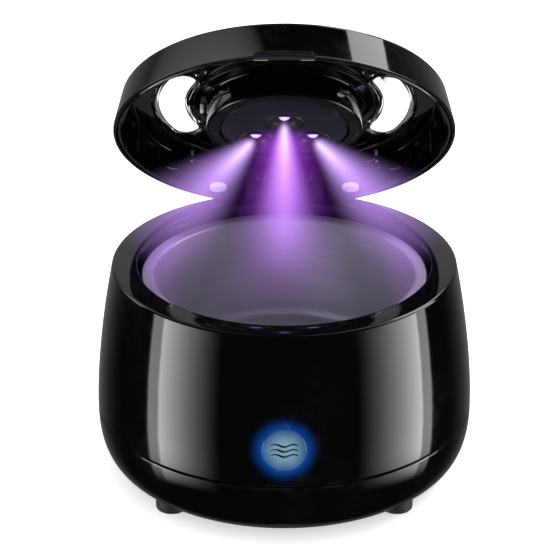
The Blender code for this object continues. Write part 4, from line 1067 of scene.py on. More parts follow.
class CLEANER_OT_upper_casing(PieceOperator, bpy.types.Operator):
    """Build the bulging upper casing with its flat rim, mouth, ledge and hinge recess"""

    bl_idname = "cleaner.upper_casing"
    bl_label = "Upper Casing"

    def execute(self, context):
        s = sizes()
        edge = 0.0007
        low = s.seam_height + GAP / 2
        top_in = s.rim_height - s.wall
        outer = [(1.0, low + 0.0005, 0.0)] + on_rule(spread(low + 0.0012, s.rim_height - edge, 30), 0.0)
        seam = plain([(outline_radius(low) - 0.0005, low), (outline_radius(low) - 0.00015, low + 0.00015)])
        corner = arc((s.rim_radius - edge, s.rim_height - edge), edge, 20, 90, 5)
        inner_edge = arc((s.mouth_radius + edge, s.rim_height - edge), edge, 90, 180, 6)
        ledge = s.rim_height - LEDGE_DROP
        under = ledge - LEDGE_SEAT
        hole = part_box("tank")[1].x - TANK_LIP + 0.0004
        back = s.mouth_radius + 0.0016
        mouth = inner_edge + [(s.mouth_radius, ledge + 0.0006)]
        mouth += arc((s.mouth_radius - 0.0006, ledge + 0.0006), 0.0006, 0, -90, 4)[1:]
        mouth += [(hole + 0.0002, ledge), (hole, ledge - 0.0002), (hole, under), (back, under), (back, top_in)]
        inner = on_rule(spread(top_in, low, 10), s.wall)
        shell = ruled("upper_casing", seam + outer + plain(corner + mouth) + inner, s.steps)
        shelf_low = s.rim_height - SHELF_DROP
        half = math.radians(30)
        points = []
        for z in spread(shelf_low, s.rim_height - s.wall / 2, 4):
            points.append((outline_radius(z) - s.wall / 2, z))
        shelf_in = s.mouth_radius + 0.0008
        points = [(shelf_in, shelf_low)] + points + [(shelf_in, s.rim_height - s.wall / 2)]
        bm = bmesh.new()
        rings = []
        for angle in spread(math.pi / 2 - half, math.pi / 2 + half, 25):
            rings.append([bm.verts.new((r * math.cos(angle), r * math.sin(angle), z)) for r, z in points])
        for one, two in zip(rings, rings[1:]):
            for i in range(len(points)):
                j = (i + 1) % len(points)
                bm.faces.new((one[i], one[j], two[j], two[i]))
        bm.faces.new(rings[0])
        bm.faces.new(rings[-1])
        combined(shell, mesh_object("hinge_shelf", bm), "UNION")
        half_pocket = KNUCKLE_HALF + SIDE_CLEARANCE
        pocket = block("knuckle_pocket", (-half_pocket, HINGE.y - 0.0026, HINGE.z - 0.0024),
                       (half_pocket, HINGE.y + 0.0020, s.rim_height + 0.010))
        along_pin = Matrix.Translation(HINGE) @ ALONG_X
        bore = moved(bar("pin_bore", BORE_RADIUS, -0.0183, 0.0183), along_pin)
        hole_cut = moved(bar("button_hole", s.button_radius + GAP, -0.008, 0.010, steps=96), button_place())
        for cutter in (lid_recess(), pocket, bore, hole_cut):
            combined(shell, cutter)
        bake(shell)
        true_normals(shell, outline_radius)
        finished(shell, "base", "gloss_black", ["body_shell"], finish="casing_black")
        return {"FINISHED"}


class CLEANER_OT_lower_casing(PieceOperator, bpy.types.Operator):
    """Build the lower casing with its rounded corner, foot seats, screw pockets and inlet opening"""

    bl_idname = "cleaner.lower_casing"
    bl_label = "Lower Casing"

    def execute(self, context):
        s = sizes()
        top = s.seam_height - GAP / 2
        rise = top - 0.0006 - BASE_Z
        heights = [BASE_Z + rise * (1 - math.cos(a)) for a in spread(0.0, math.pi / 2, 26)]
        corner = [(corner_radius(z), z) for z in heights]
        tongue = outline_radius(s.seam_height + TONGUE_HEIGHT) - s.wall - GAP
        lip = [(corner[-1][0] - 0.00018, top - 0.00018), (corner[-1][0] - 0.0006, top), (tongue, top),
               (tongue, top + TONGUE_HEIGHT), (tongue - 0.001, top + TONGUE_HEIGHT),
               (tongue - 0.001, s.seam_height - 0.003)]
        inner = [(corner_radius(z) - s.wall, z) for z in spread(s.seam_height - 0.0035, FLOOR_Z + 0.001, 8)]
        outline = [(0.0, BASE_Z)] + corner + lip + inner + [(inner[-1][0] - 0.0015, FLOOR_Z), (0.0, FLOOR_Z)]
        shell = turned("lower_casing", outline, s.steps, closed=False)
        added, cuts = [], []
        for i, foot in enumerate(("foot_1", "foot_2", "foot_3", "foot_4")):
            low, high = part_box(foot)
            middle = (low + high) / 2
            radius = (high.x - low.x) / 2
            inward = 1 - 0.0012 / math.hypot(middle.x, middle.y)
            added.append(bar(f"foot_boss_{i}", radius + 0.0006, FLOOR_Z - 0.0004, high.z + 0.0018,
                             (middle.x * inward, middle.y * inward), 48))
            cuts.append(bar(f"foot_seat_{i}", radius + GAP, -0.001, high.z + GAP, (middle.x, middle.y), 48))
        for i in range(4):
            low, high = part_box(f"case_screw_{i + 1}")
            middle = (low + high) / 2
            radius = (high.x - low.x) / 2
            seat = low.z + 0.0018
            outline = [(0.0, -0.001), (radius + 0.0005, -0.001), (radius + 0.0005, seat), (0.0014, seat),
                       (0.0014, FLOOR_Z + 0.004), (0.0, FLOOR_Z + 0.004)]
            added.append(bar(f"boss_{i}", radius + 0.0018, BASE_Z + 0.001, FLOOR_Z + 0.0028,
                             (middle.x, middle.y), 32))
            cuts.append(moved(turned(f"screw_hole_{i}", outline, 32, closed=False),
                              Matrix.Translation((middle.x, middle.y, 0.0))))
        for i in range(3):
            low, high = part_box(f"board_screw_{i + 1}")
            middle = (low + high) / 2
            added.append(bar(f"standoff_{i}", 0.0030, BASE_Z + 0.001, FLOOR_Z + 0.004,
                             (middle.x, middle.y), 32))
            cuts.append(bar(f"pilot_{i}", PILOT_RADIUS, FLOOR_Z, FLOOR_Z + 0.005, (middle.x, middle.y), 24))
        socket_low, socket_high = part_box("power_socket")
        cuts.append(moved(bar("socket_hole", 0.0045, -0.010, 0.010, steps=64),
                          Matrix.Translation((0.0, outline_radius(0.0), (socket_low.z + socket_high.z) / 2))
                          @ ALONG_Y))
        combined(shell, joined("bosses", *added), "UNION")
        combined(shell, joined("base_holes", *cuts))
        bake(shell)
        true_normals(shell, corner_radius)
        finished(shell, "base", "gloss_black", ["base_shell"])
        return {"FINISHED"}


class CLEANER_OT_feet(PieceOperator, bpy.types.Operator):
    """Build the four rubber feet with their rounded rims and ringed soles"""

    bl_idname = "cleaner.feet"
    bl_label = "Feet"

    def execute(self, context):
        for i in range(4):
            low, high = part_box(f"foot_{i + 1}")
            middle = (low + high) / 2
            radius = (high.x - low.x) / 2 * 0.998
            sole = []
            for groove in (0.30, 0.52, 0.74):
                r = radius * groove
                sole += [(r - 0.0003, 0.0), (r - 0.0002, 0.0003), (r + 0.0002, 0.0003), (r + 0.0003, 0.0)]
            outline = [(0.0, 0.0)] + sole + arc((radius - 0.0009, 0.0009), 0.0009, -90, 0, 6)
            outline += arc((radius - 0.0003, high.z - 0.0003), 0.0003, 0, 90, 4) + [(0.0, high.z)]
            foot = moved(turned(f"rubber_foot_{i + 1}", outline, 64, closed=False),
                         Matrix.Translation((middle.x, middle.y, 0.0)))
            finished(foot, "base", "rubber_black", [f"foot_{i + 1}"])
        return {"FINISHED"}


class CLEANER_OT_tank(PieceOperator, bpy.types.Operator):
    """Build the deep-drawn steel tank with its rolled lip, and the gasket under it"""

    bl_idname = "cleaner.tank"
    bl_label = "Tank"

    def execute(self, context):
        low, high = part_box("tank")
        lip = high.x
        outer = lip - TANK_LIP
        sheet, taper = TANK_SHEET, 0.0016
        bottom = outer - taper
        fillet = 0.006
        under = high.z - 0.0013
        corner = arc((bottom - fillet - sheet, low.z + fillet + sheet), fillet + sheet, -90, 0, 14)
        outline = [(0.0, low.z)] + corner
        outline += [(outer, under - 0.0006)] + arc((outer + 0.0005, under - 0.0005), 0.0005, 180, 90, 4)
        outline += arc((lip - 0.00065, under + 0.00065), 0.00065, -90, 90, 12)
        outline += rounded([(lip - 0.0014, high.z, 0.0), (outer - sheet + 0.0001, high.z, 0.0012),
                            (outer - sheet, high.z - 0.0030, 0.0)], 8)[:-1]
        outline += [(outer - sheet, high.z - 0.0030)]
        outline += arc((bottom - sheet - fillet, low.z + sheet + fillet), fillet, 0, -90, 14)
        outline += [(bottom * 0.55, low.z + sheet), (bottom * 0.53, low.z + sheet + 0.0003),
                    (bottom * 0.51, low.z + sheet), (0.0, low.z + sheet)]
        tank = turned("steel_tank", outline, sizes().steps, closed=False)
        finished(tank, "base", "brushed_steel", ["tank"])
        low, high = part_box("tank_gasket")
        inner = outer + 0.0008
        ring = rounded([(inner, low.z, 0.0002), (high.x, low.z, 0.0002), (high.x, high.z, 0.0002),
                        (inner, high.z, 0.0002)], 3)
        gasket = turned("gasket_ring", ring, 128)
        finished(gasket, "base", "rubber_black", ["tank_gasket"])
        return {"FINISHED"}


def kidney(offset, steps=28, ends=14):
    """Window outline around +X: two arcs about the lid's middle, joined by round ends."""
    s = sizes()
    inner, outer = s.window_inner - offset, s.window_outer + offset
    middle, end = (inner + outer) / 2, (outer - inner) / 2
    half = s.window_half_angle
    points = [around(outer, a) for a in spread(-half, half, steps)]
    swings = (spread(half, half + math.pi, ends), spread(math.pi - half, math.tau - half, ends))
    for sign, swing in zip((1, -1), swings):
        tip = Vector(around(middle, sign * half))
        points += [(tip.x + end * math.cos(a), tip.y + end * math.sin(a)) for a in swing[1:-1]]
        if sign == 1:
            points += [around(inner, a) for a in spread(half, -half, steps)]
    return points


def notch_cutter(name):
    """Finger notch in the front edge of the lid."""
    corner, half, low = 0.0012, NOTCH_HALF, LID_Z - 0.002
    top = LID_Z + NOTCH_HEIGHT
    right = [(half - corner + corner * math.cos(a), top - corner + corner * math.sin(a))
             for a in spread(0.0, math.pi / 2, 9)]
    outline = [(half, low)] + right + [(-x, z) for x, z in reversed(right)] + [(-half, low)]
    rim = sizes().rim_radius
    return prism(name, outline, -rim - 0.005, -rim + 0.012, "Y")


class CLEANER_OT_lid_cover(PieceOperator, bpy.types.Operator):
    """Build the glossy lid cover with its two kidney-shaped windows and its finger notch"""

    bl_idname = "cleaner.lid_cover"
    bl_label = "Lid Cover"

    def execute(self, context):
        s = sizes()
        edge = 0.0011
        high = s.lid_height - edge
        wall = on_rule([LID_Z + z for z in spread(0.0004, high, 14)], 0.0)
        crest = lid_radius(high) - edge - 0.0002
        over = arc((crest, LID_Z + high), edge, 12, 82, 7)
        heights = [crest - 0.004, s.window_outer + 0.0018, s.window_inner - 0.0018, 0.020, 0.008, 0.0]
        over += [(r, crowned(s.lid_height, r)) for r in heights]
        under = s.lid_height - LID_SHEET
        ceiling = [(r, crowned(under, r)) for r in reversed(heights[1:])]
        reach = lid_radius(under) - LID_SHEET
        ceiling += [(reach - 0.0006, crowned(under, reach) - 0.0001),
                    (reach - 0.0001, crowned(under, reach) - 0.0006)]
        inside = on_rule([LID_Z + z for z in spread(under - 0.0012, 0.0003, 8)], LID_SHEET)
        foot = [(lid_radius(0.0) - 0.0010, LID_Z + 0.0001), (lid_radius(0.0) - 0.0007, LID_Z),
                (lid_radius(0.0) - 0.0004, LID_Z), (lid_radius(0.0) - 0.0001, LID_Z + 0.0001)]
        outline = plain(ceiling) + inside + plain(foot) + wall + plain(over)
        cover = ruled("lid_cover", outline, s.steps)
        for side, name in ((-1, "opening_left"), (1, "opening_right")):
            points = [(side * x, y) for x, y in kidney(0.0)]
            low = LID_Z + s.lid_height - 0.006
            combined(cover, prism(name, points, low, low + 0.012))
        combined(cover, notch_cutter("cover_notch"))
        bake(cover)
        true_normals(cover, outline_radius)
        finished(cover, "lid", "gloss_black", ["lid_shell"])
        return {"FINISHED"}


class CLEANER_OT_lid_liner(PieceOperator, bpy.types.Operator):
    """Build the lid's inner wall with its stepped foot, brackets, pad posts and pads"""

    bl_idname = "cleaner.lid_liner"
    bl_label = "Lid Liner"

    def execute(self, context):
        s = sizes()
        skin, shelf, sheet = LID_SHEET + GAP, LINER_DEPTH, LINER_SHEET
        shelf_in = s.window_outer + 0.0010 + 0.0008
        outer = [(lid_radius(z) - skin, LID_Z + z) for z in spread(0.0003, shelf + sheet - 0.0008, 10)]
        crest = lid_radius(shelf + sheet) - skin - 0.0008
        foot = lid_radius(0.0) - skin - sheet
        top = LID_Z + shelf + sheet
        inside = [(liner_inside(z), LID_Z + z) for z in spread(shelf - 0.0014, 0.0020, 8)]
        bend = arc((liner_inside(shelf) - 0.0014, LID_Z + shelf - 0.0014), 0.0014, 90, 8, 7)
        outline = outer + [(crest, top), (shelf_in + 0.0003, top), (shelf_in, top - 0.0003),
                           (shelf_in, LID_Z + shelf + 0.0003), (shelf_in + 0.0003, LID_Z + shelf)]
        outline += bend + inside + [(foot, LID_Z + 0.0014), (foot, LID_Z + 0.0003), (foot + 0.0002, LID_Z),
                                    (foot + sheet - 0.0003, LID_Z)]
        liner = turned("lid_liner_ring", outline, s.steps)
        added, cuts = [], [notch_cutter("liner_notch")]
        for side, name in ((-1, "lid_pad_left"), (1, "lid_pad_right")):
            low, high = pad_box(name)
            middle = (low + high) / 2
            added.append(bar(f"pad_post_{name}", 0.0034, high.z + GAP, LID_Z + shelf + 0.0005,
                             (middle.x, middle.y), 48))
            pad = bar(f"round_{name}", 0.00288, low.z, high.z, (middle.x, middle.y), 48, edge=0.0003)
            finished(pad, "lid", "grey_plastic", [name], finish="pad_plastic")
            reach = liner_inside(shelf)
            profile = [(reach - 0.0050, LID_Z + 0.0064), (reach - 0.0046, LID_Z + 0.0056),
                       (reach - 0.0038, LID_Z + 0.0050), (reach + 0.0006, LID_Z + 0.0050),
                       (reach + 0.0006, LID_Z + shelf + 0.0005),
                       (reach - 0.0050, LID_Z + shelf + 0.0005)]
            rib = prism(f"rib_{name}", profile, -0.0006, 0.0006, "Y")
            added.append(moved(rib, Matrix.Rotation(math.pi / 2 - side * (math.pi / 2 - RIB_ANGLE), 4, "Z")))
            cuts.append(moved(bar(f"hinge_pilot_{name}", PILOT_RADIUS, -0.006, 0.006, steps=24),
                              Matrix.Translation((side * HINGE_SCREW_X, s.rim_radius, HINGE_SCREW_Z))
                              @ ALONG_Y))
        combined(liner, joined("posts_and_ribs", *added), "UNION")
        combined(liner, joined("liner_holes", *cuts))
        bake(liner)
        finished(liner, "lid", "gloss_black", ["lid_liner"])
        return {"FINISHED"}


def pad_box(name):
    """Box of a lid node with the lid shut."""
    back = LID_PLACE.inverted()
    points = [back @ v.co for v in frame["nodes"][name].data.vertices]
    low = Vector([min(p[i] for p in points) for i in range(3)])
    high = Vector([max(p[i] for p in points) for i in range(3)])
    return low, high


class CLEANER_OT_windows(PieceOperator, bpy.types.Operator):
    """Build the two clear window plugs with their rounded edges and flanges"""

    bl_idname = "cleaner.windows"
    bl_label = "Windows"

    def execute(self, context):
        for side, name in ((-1, "window_left"), (1, "window_right")):
            low, high = pad_box(name)
            step = low.z + 0.0008
            levels = [(0.0007, low.z), (0.0010, low.z + 0.0002), (0.0010, step - 0.0001), (0.0009, step),
                      (-GAP, step), (-GAP, high.z - 0.0005), (-GAP - 0.0002, high.z - 0.0001),
                      (-GAP - 0.0006, high.z)]
            rings = [[(side * x, y, z) for x, y in kidney(offset)] for offset, z in levels]
            plug = lofted(f"{name}_plug", rings)
            finished(plug, "lid", "clear_window", [name])
        return {"FINISHED"}


class CLEANER_OT_light_head(PieceOperator, bpy.types.Operator):
    """Build the drum that hangs from the cover, its bezel, smoked lens, lamp rings and lamps"""

    bl_idname = "cleaner.light_head"
    bl_label = "Light Head"

    def execute(self, context):
        s = sizes()
        head_low, head_high = pad_box("light_head")
        lens_low, lens_high = pad_box("head_lens")
        lens_radius = lens_high.x
        flange, ceiling, low = head_high.x, head_high.z, head_low.z
        flange_low = ceiling - 0.0013
        inner = s.head_radius - 0.0016
        seat = lens_high.z + GAP
        outline = [(lens_radius + GAP, low + 0.0003), (lens_radius + GAP + 0.0003, low)]
        outline += arc((s.head_radius - 0.0009, low + 0.0009), 0.0009, -90, 0, 7)
        outline += [(s.head_radius, flange_low - 0.0012)]
        outline += arc((s.head_radius + 0.0012, flange_low - 0.0012), 0.0012, 180, 90, 6)[1:]
        outline += arc((flange - 0.0004, flange_low + 0.0004), 0.0004, -90, 0, 4)
        outline += [(flange, ceiling), (inner, ceiling), (inner, seat + 0.0014),
                    (lens_radius - 0.0014, seat + 0.0014), (lens_radius - 0.0014, seat),
                    (lens_radius + GAP, seat)]
        drum = turned("light_drum", outline, 160)
        screws = []
        for i in range(3):
            a, b = pad_box(f"head_screw_{i + 1}")
            middle = (a + b) / 2
            screws.append(bar(f"flange_hole_{i}", 0.0011, flange_low - 0.001, ceiling + 0.001,
                              (middle.x, middle.y), 24))
        combined(drum, joined("flange_holes", *screws))
        bake(drum)
        finished(drum, "lid", "gloss_black", ["light_head"])
        low, high = lens_low.z, lens_high.z
        dish = [(0.0, low + 0.00012), (lens_radius * 0.55, low + 0.0001)]
        dish += arc((lens_radius - 0.0004, low + 0.0004), 0.0004, -90, 0, 5)
        dish += [(lens_radius, high), (0.0, high)]
        lens = turned("smoked_disc", dish, 160, closed=False)
        openings = [bar(f"lamp_opening_{i}", s.lamp_ring, low - 0.001, low + 0.004, place, 64)
                    for i, place in enumerate(lamp_places())]
        combined(lens, joined("lamp_openings", *openings))
        bake(lens)
        finished(lens, "lid", "smoked_lens", ["head_lens"])
        for i, middle in enumerate(lamp_places()):
            place = Matrix.Translation((*middle, 0.0))
            cup_low, cup_high = pad_box(f"lamp_cup_{i + 1}")
            ring = s.lamp_ring - GAP
            low = cup_low.z
            cup = rounded([(ring - 0.0010, low, 0.0003), (ring, low, 0.0004), (ring, low + 0.0012, 0.0),
                           (0.0044, cup_high.z, 0.0), (0.0028, cup_high.z, 0.0), (0.0034, low + 0.0014, 0.0003),
                           (0.0042, low + 0.0007, 0.0003)], 5)
            item = moved(turned(f"lamp_ring_{i + 1}", cup, 96), place)
            finished(item, "lid", "satin_black", [f"lamp_cup_{i + 1}"])
            a, b = pad_box(f"lamp_{i + 1}")
            radius = (b.x - a.x) / 2
            dome = [(0.0, b.z), (radius, b.z)] + arc((0.0, a.z + radius), radius, 0, -90, 12)
            item = moved(turned(f"lamp_dome_{i + 1}", dome, 48, closed=False), place)
            finished(item, "lid", "violet_lamp", [f"lamp_{i + 1}"])
        clip = block("head_clip", (-0.0274, -0.0011, flange_low - 0.0026),
                     (-0.0262, 0.0011, flange_low - 0.00005))
        bake(bevel(clip, 0.0003))
        finished(clip, "lid", "grey_plastic", finish="pad_plastic")
        return {"FINISHED"}


class CLEANER_OT_hinge(PieceOperator, bpy.types.Operator):
    """Build the hinge knuckle with its web, and the pin"""

    bl_idname = "cleaner.hinge"
    bl_label = "Hinge"

    def execute(self, context):
        half, radius = KNUCKLE_HALF, KNUCKLE_RADIUS
        web_top = pad_box("hinge_block")[1].z
        web_back = math.sqrt((liner_inside(LINER_DEPTH) - GAP) ** 2 - half ** 2)
        front = web_back - WEB_THICKNESS
        outline = [(HINGE.y + radius * math.cos(a), HINGE.z + radius * math.sin(a))
                   for a in spread(0.0, -math.pi, 25)]
        outline += [(HINGE.y - radius, RIM_Z + 0.0004), (front, RIM_Z + 0.0012), (front, web_top - 0.0006),
                    (front + 0.0006, web_top), (web_back, web_top), (web_back, RIM_Z + 0.0025),
                    (HINGE.y + radius, RIM_Z - 0.0012)]
        knuckle = prism("hinge_knuckle", outline, -half, half, "X")
        holes = [moved(bar("knuckle_bore", BORE_RADIUS, -0.02, 0.02, steps=48),
                       Matrix.Translation(HINGE) @ ALONG_X)]
        for side in (-1, 1):
            holes.append(moved(bar(f"block_hole_{side}", 0.0013, -0.006, 0.006, steps=32),
                               Matrix.Translation((side * HINGE_SCREW_X, front, HINGE_SCREW_Z))
                               @ ALONG_Y))
        combined(knuckle, joined("block_holes", *holes))
        bevel(knuckle, 0.0002, 2)
        bake(knuckle)
        finished(knuckle, "lid", "gloss_black", ["hinge_block"], finish="satin_black")
        a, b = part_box("hinge_pin")
        pin = bar("turned_pin", (b.z - a.z) / 2, a.x, b.x, steps=40, edge=0.0003)
        moved(pin, Matrix.Translation(HINGE) @ ALONG_X)
        finished(pin, "base", "bright_steel", ["hinge_pin"])
        return {"FINISHED"}


class CLEANER_OT_catch(PieceOperator, bpy.types.Operator):
    """Build the keeper behind the finger notch with its two pale tabs"""

    bl_idname = "cleaner.catch"
    bl_label = "Lid Catch"

    def execute(self, context):
        low, high = pad_box("catch_carrier")
        carrier = block("keeper", low, high)
        hollow = block("keeper_hollow", (low.x + 0.0022, low.y - 0.001, low.z + 0.0010),
                       (high.x - 0.0022, low.y + 0.0012, high.z - 0.0010))
        combined(carrier, hollow)
        bake(bevel(carrier, 0.00025))
        finished(carrier, "lid", "satin_black", ["catch_carrier"])
        for name in ("catch_tab_left", "catch_tab_right"):
            low, high = pad_box(name)
            side = -1 if name.endswith("left") else 1
            lean = 0.0008 * side
            outline = [(low.x, low.z), (high.x, low.z), (high.x - max(lean, 0.0), high.z),
                       (low.x - min(lean, 0.0), high.z)]
            tab = prism(f"{name}_wedge", outline, low.y, high.y, "Y")
            bake(bevel(tab, 0.0002))
            finished(tab, "lid", "grey_plastic", [name])
        return {"FINISHED"}


class CLEANER_OT_button(PieceOperator, bpy.types.Operator):
    """Build the lit push button and its three wavy marks"""

    bl_idname = "cleaner.button"
    bl_label = "Push Button"

    def execute(self, context):
        s = sizes()
        place = button_place()
        r, proud, edge = s.button_radius, 0.0002, 0.0004
        flange, stem = -s.wall - 0.0012, -s.wall - 0.0048
        outline = [(0.0, stem), (0.0013, stem), (0.0015, stem + 0.0002), (0.0015, flange - 0.0010),
                   (r + 0.0006, flange - 0.0010), (r + 0.0008, flange - 0.0008), (r + 0.0008, flange),
                   (r, flange)]
        outline += arc((r - edge, proud - edge), edge, 0, 90, 6)
        outline += [(r * t, proud) for t in (0.8, 0.6, 0.4, 0.2, 0.0)]
        face = moved(turned("button_face", outline, 96, closed=False), place)
        finished(face, "button", "lit_button", ["power_button"])
        marks = points_object("wave_marks", [(0.0, 0.0, 0.0)])
        applied(marks, made["waves"], made["finish"]["wave_mark"], Width=s.wave_width, Swing=0.00042,
                Spacing=0.0017, Stroke=0.00034, Count=3)
        bake(marks, 60)
        moved(marks, place @ Matrix.Translation((0.0, 0.0, proud)))
        finished(marks, "button", "lit_button", finish="wave_mark")
        return {"FINISHED"}


class CLEANER_OT_inlet(PieceOperator, bpy.types.Operator):
    """Build the round low-voltage inlet in the back of the casing"""

    bl_idname = "cleaner.inlet"
    bl_label = "Inlet"

    def execute(self, context):
        low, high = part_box("power_socket")
        half = (high.x - low.x) / 2
        middle = (low.z + high.z) / 2
        depth = 0.013
        back = low.y + depth
        body = block("inlet_body", (-half, low.y, middle - half), (half, back, middle + half))
        turn = Matrix.Translation((0.0, back, middle)) @ Matrix.Rotation(-math.pi / 2, 4, "X")
        hollow = moved(bar("inlet_hollow", 0.0038, -0.0070, 0.0010, steps=64), turn)
        reach = high.y - back
        sleeve = [(0.0, -0.0076), (0.0042, -0.0076), (0.0042, reach - 0.0003), (0.0039, reach),
                  (0.0031, reach), (0.0029, reach - 0.0002), (0.0029, -0.0062), (0.0010, -0.0062),
                  (0.0010, reach - 0.0016), (0.0007, reach - 0.0012), (0.0, reach - 0.0012)]
        collar = moved(turned("inlet_collar", sleeve, 64, closed=False), turn)
        combined(body, hollow)
        combined(body, collar, "UNION")
        bake(body)
        finished(body, "base", "satin_black", ["power_socket"])
        return {"FINISHED"}


class CLEANER_OT_screws(PieceOperator, bpy.types.Operator):
    """Build every threaded screw of the casing, board, light head and hinge"""

    bl_idname = "cleaner.screws"
    bl_label = "Screws"

    def execute(self, context):
        steel = made["finish"]["bright_steel"]
        sets = (
            ("case_screws", "case_screw", 4, "base", (0, 0, 1), (0.0024, 0.0015, 0.0010, 0.0100)),
            ("board_screws", "board_screw", 3, "base", (0, 0, -1), (0.0024, 0.0015, 0.0010, 0.0057)),
            ("head_screws", "head_screw", 3, "lid", (0, 0, 1), (0.0016, 0.0012, 0.0008, 0.0)),
            ("hinge_screws", "hinge_screw", 2, "lid", (0, 1, 0), (0.0020, 0.0015, 0.0010, 0.0058)),
        )
        for name, node, count, body, aim, (head, height, shank, length) in sets:
            on_lid = body == "lid"
            nodes = [f"{node}_{i + 1}" for i in range(count)]
            places = []
            for each in nodes:
                low, high = pad_box(each) if on_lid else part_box(each)
                middle = (low + high) / 2
                spot = [low[k] if aim[k] > 0 else high[k] if aim[k] < 0 else middle[k] for k in range(3)]
                places.append(spot)
                length = length or high.z - low.z
            item = points_object(name, places, [aim] * count)
            applied(item, made["screws"], steel, **{
                "Head Radius": head, "Head Height": height, "Shank Radius": shank, "Length": length,
                "Pitch": shank * 0.8})
            bake(item, 40)
            finished(item, body, "bright_steel", nodes)
        return {"FINISHED"}


class CLEANER_OT_insides(PieceOperator, bpy.types.Operator):
    """Give the hidden works their finishes, and wind the choke"""

    bl_idname = "cleaner.insides"
    bl_label = "Inner Works"

    def execute(self, context):
        finish = made["finish"]
        low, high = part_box("choke")
        middle = (low + high) / 2
        ring = points_object("choke_winding", [middle])
        half = (high.z - low.z) / 2
        applied(ring, made["winding"], finish["copper_winding"], **{
            "Ring Radius": 0.00515, "Section": 0.0014, "Wire": 0.00024, "Turns": 44.0,
            "Height": (half - 0.00024) / 0.0014})
        bake(ring, 60)
        finished(ring, "base", "copper_winding")
        core = rounded([(0.0039, -half + 0.0006, 0.0006), (0.0064, -half + 0.0006, 0.0006),
                        (0.0064, half - 0.0006, 0.0006), (0.0039, half - 0.0006, 0.0006)], 4)
        core = moved(turned("choke_core", core, 64), Matrix.Translation(middle))
        finished(core, "base", "copper_winding", ["choke"], finish="satin_black")
        for row in frame["record"]["subparts"]:
            node = frame["nodes"][row["node"]]
            material = finish[row["material_slot"]]
            node.data.materials.clear()
            node.data.materials.append(material)
        return {"FINISHED"}


def lamp_places():
    """Middles of the three lamps on the shut lid, read from the CAD boxes."""
    boxes = [pad_box(f"lamp_{i + 1}") for i in range(3)]
    return [((low.x + high.x) / 2, (low.y + high.y) / 2) for low, high in boxes]


def beam(name, start, aim, length, wide, strength, hot, tint=(0.50, 0.27, 0.84)):
    """Cone of painted lamp light under a lamp, a volume that glows by itself where lit mist would be: glow that
    thins out along its length and towards its side.
    """
    bm = bmesh.new()
    rings = []
    for t in (0.0, 1.0):
        radius = wide[0] + (wide[1] - wide[0]) * t
        rings.append([bm.verts.new((radius * math.cos(a), radius * math.sin(a), length * t))
                      for a in spread(0.0, math.tau, 49)[:-1]])
    for i in range(48):
        j = (i + 1) % 48
        bm.faces.new((rings[0][i], rings[0][j], rings[1][j], rings[1][i]))
    bm.faces.new(rings[0])
    bm.faces.new(rings[1])
    cone = mesh_object(name, bm)
    material = bpy.data.materials.new(name)
    material.use_nodes = True
    t = Tree(material.node_tree)
    material.node_tree.nodes.remove(material.node_tree.nodes["Principled BSDF"])
    place = t.add("ShaderNodeTexCoord").outputs["Object"]
    x, y, z = t.add("ShaderNodeSeparateXYZ", {0: place}).outputs
    out = t.maths("SQRT", t.maths("ADD", t.maths("MULTIPLY", x, x), t.maths("MULTIPLY", y, y)))
    along = t.fit(z, 0.0, length)
    width = t.fit(along, 0.0, 1.0, wide[0], wide[1])
    side = t.fit(t.maths("DIVIDE", out, width), 1.0, 0.0)
    side = t.maths("POWER", side, 1.7)
    fade = t.maths("POWER", t.fit(along, 1.0, 0.0), 1.3)
    spread_out = t.maths("DIVIDE", wide[0], width)
    level = t.maths("MULTIPLY", t.maths("MULTIPLY", side, fade), t.maths("POWER", spread_out, 0.8))
    level = t.maths("MULTIPLY", t.maths("MULTIPLY", level, strength), t.fit(along, 0.0, 0.07, smooth=True))
    # Painted white core of the beam near its start.
    white = t.maths("MULTIPLY", t.maths("POWER", side, 1.5), t.fit(along, hot, 0.0, smooth=True))
    colour = t.mix(white, tint, (0.95, 0.80, 1.0))
    glow = t.add("ShaderNodeEmission", {"Color": colour, "Strength": level})
    t.tree.links.new(glow.outputs[0], t.tree.nodes["Material Output"].inputs["Volume"])
    cone.data.materials.append(material)
    turn = Vector(aim).to_track_quat("Z", "Y").to_matrix().to_4x4()
    cone.matrix_world = Matrix.Translation(start) @ turn
    tie_to_lid(cone)
    cone.visible_shadow = False
    cone.visible_glossy = False
    return cone


def tie_to_lid(item):
    """Stage pieces and lights that follow the lid."""
    bpy.context.view_layer.update()
    item.parent = frame["bodies"]["lid"]


def area_light(name, place, target, size, watts, colour=(1.0, 1.0, 1.0)):
    data = bpy.data.lights.new(name, "AREA")
    data.shape = "RECTANGLE"
    data.size, data.size_y = size
    data.energy = watts
    data.color = colour
    light = bpy.data.objects.new(name, data)
    light.matrix_world = (Matrix.Translation(place)
                          @ (Vector(target) - Vector(place)).to_track_quat("-Z", "Y").to_matrix().to_4x4())
    bpy.context.scene.collection.objects.link(light)
    return light


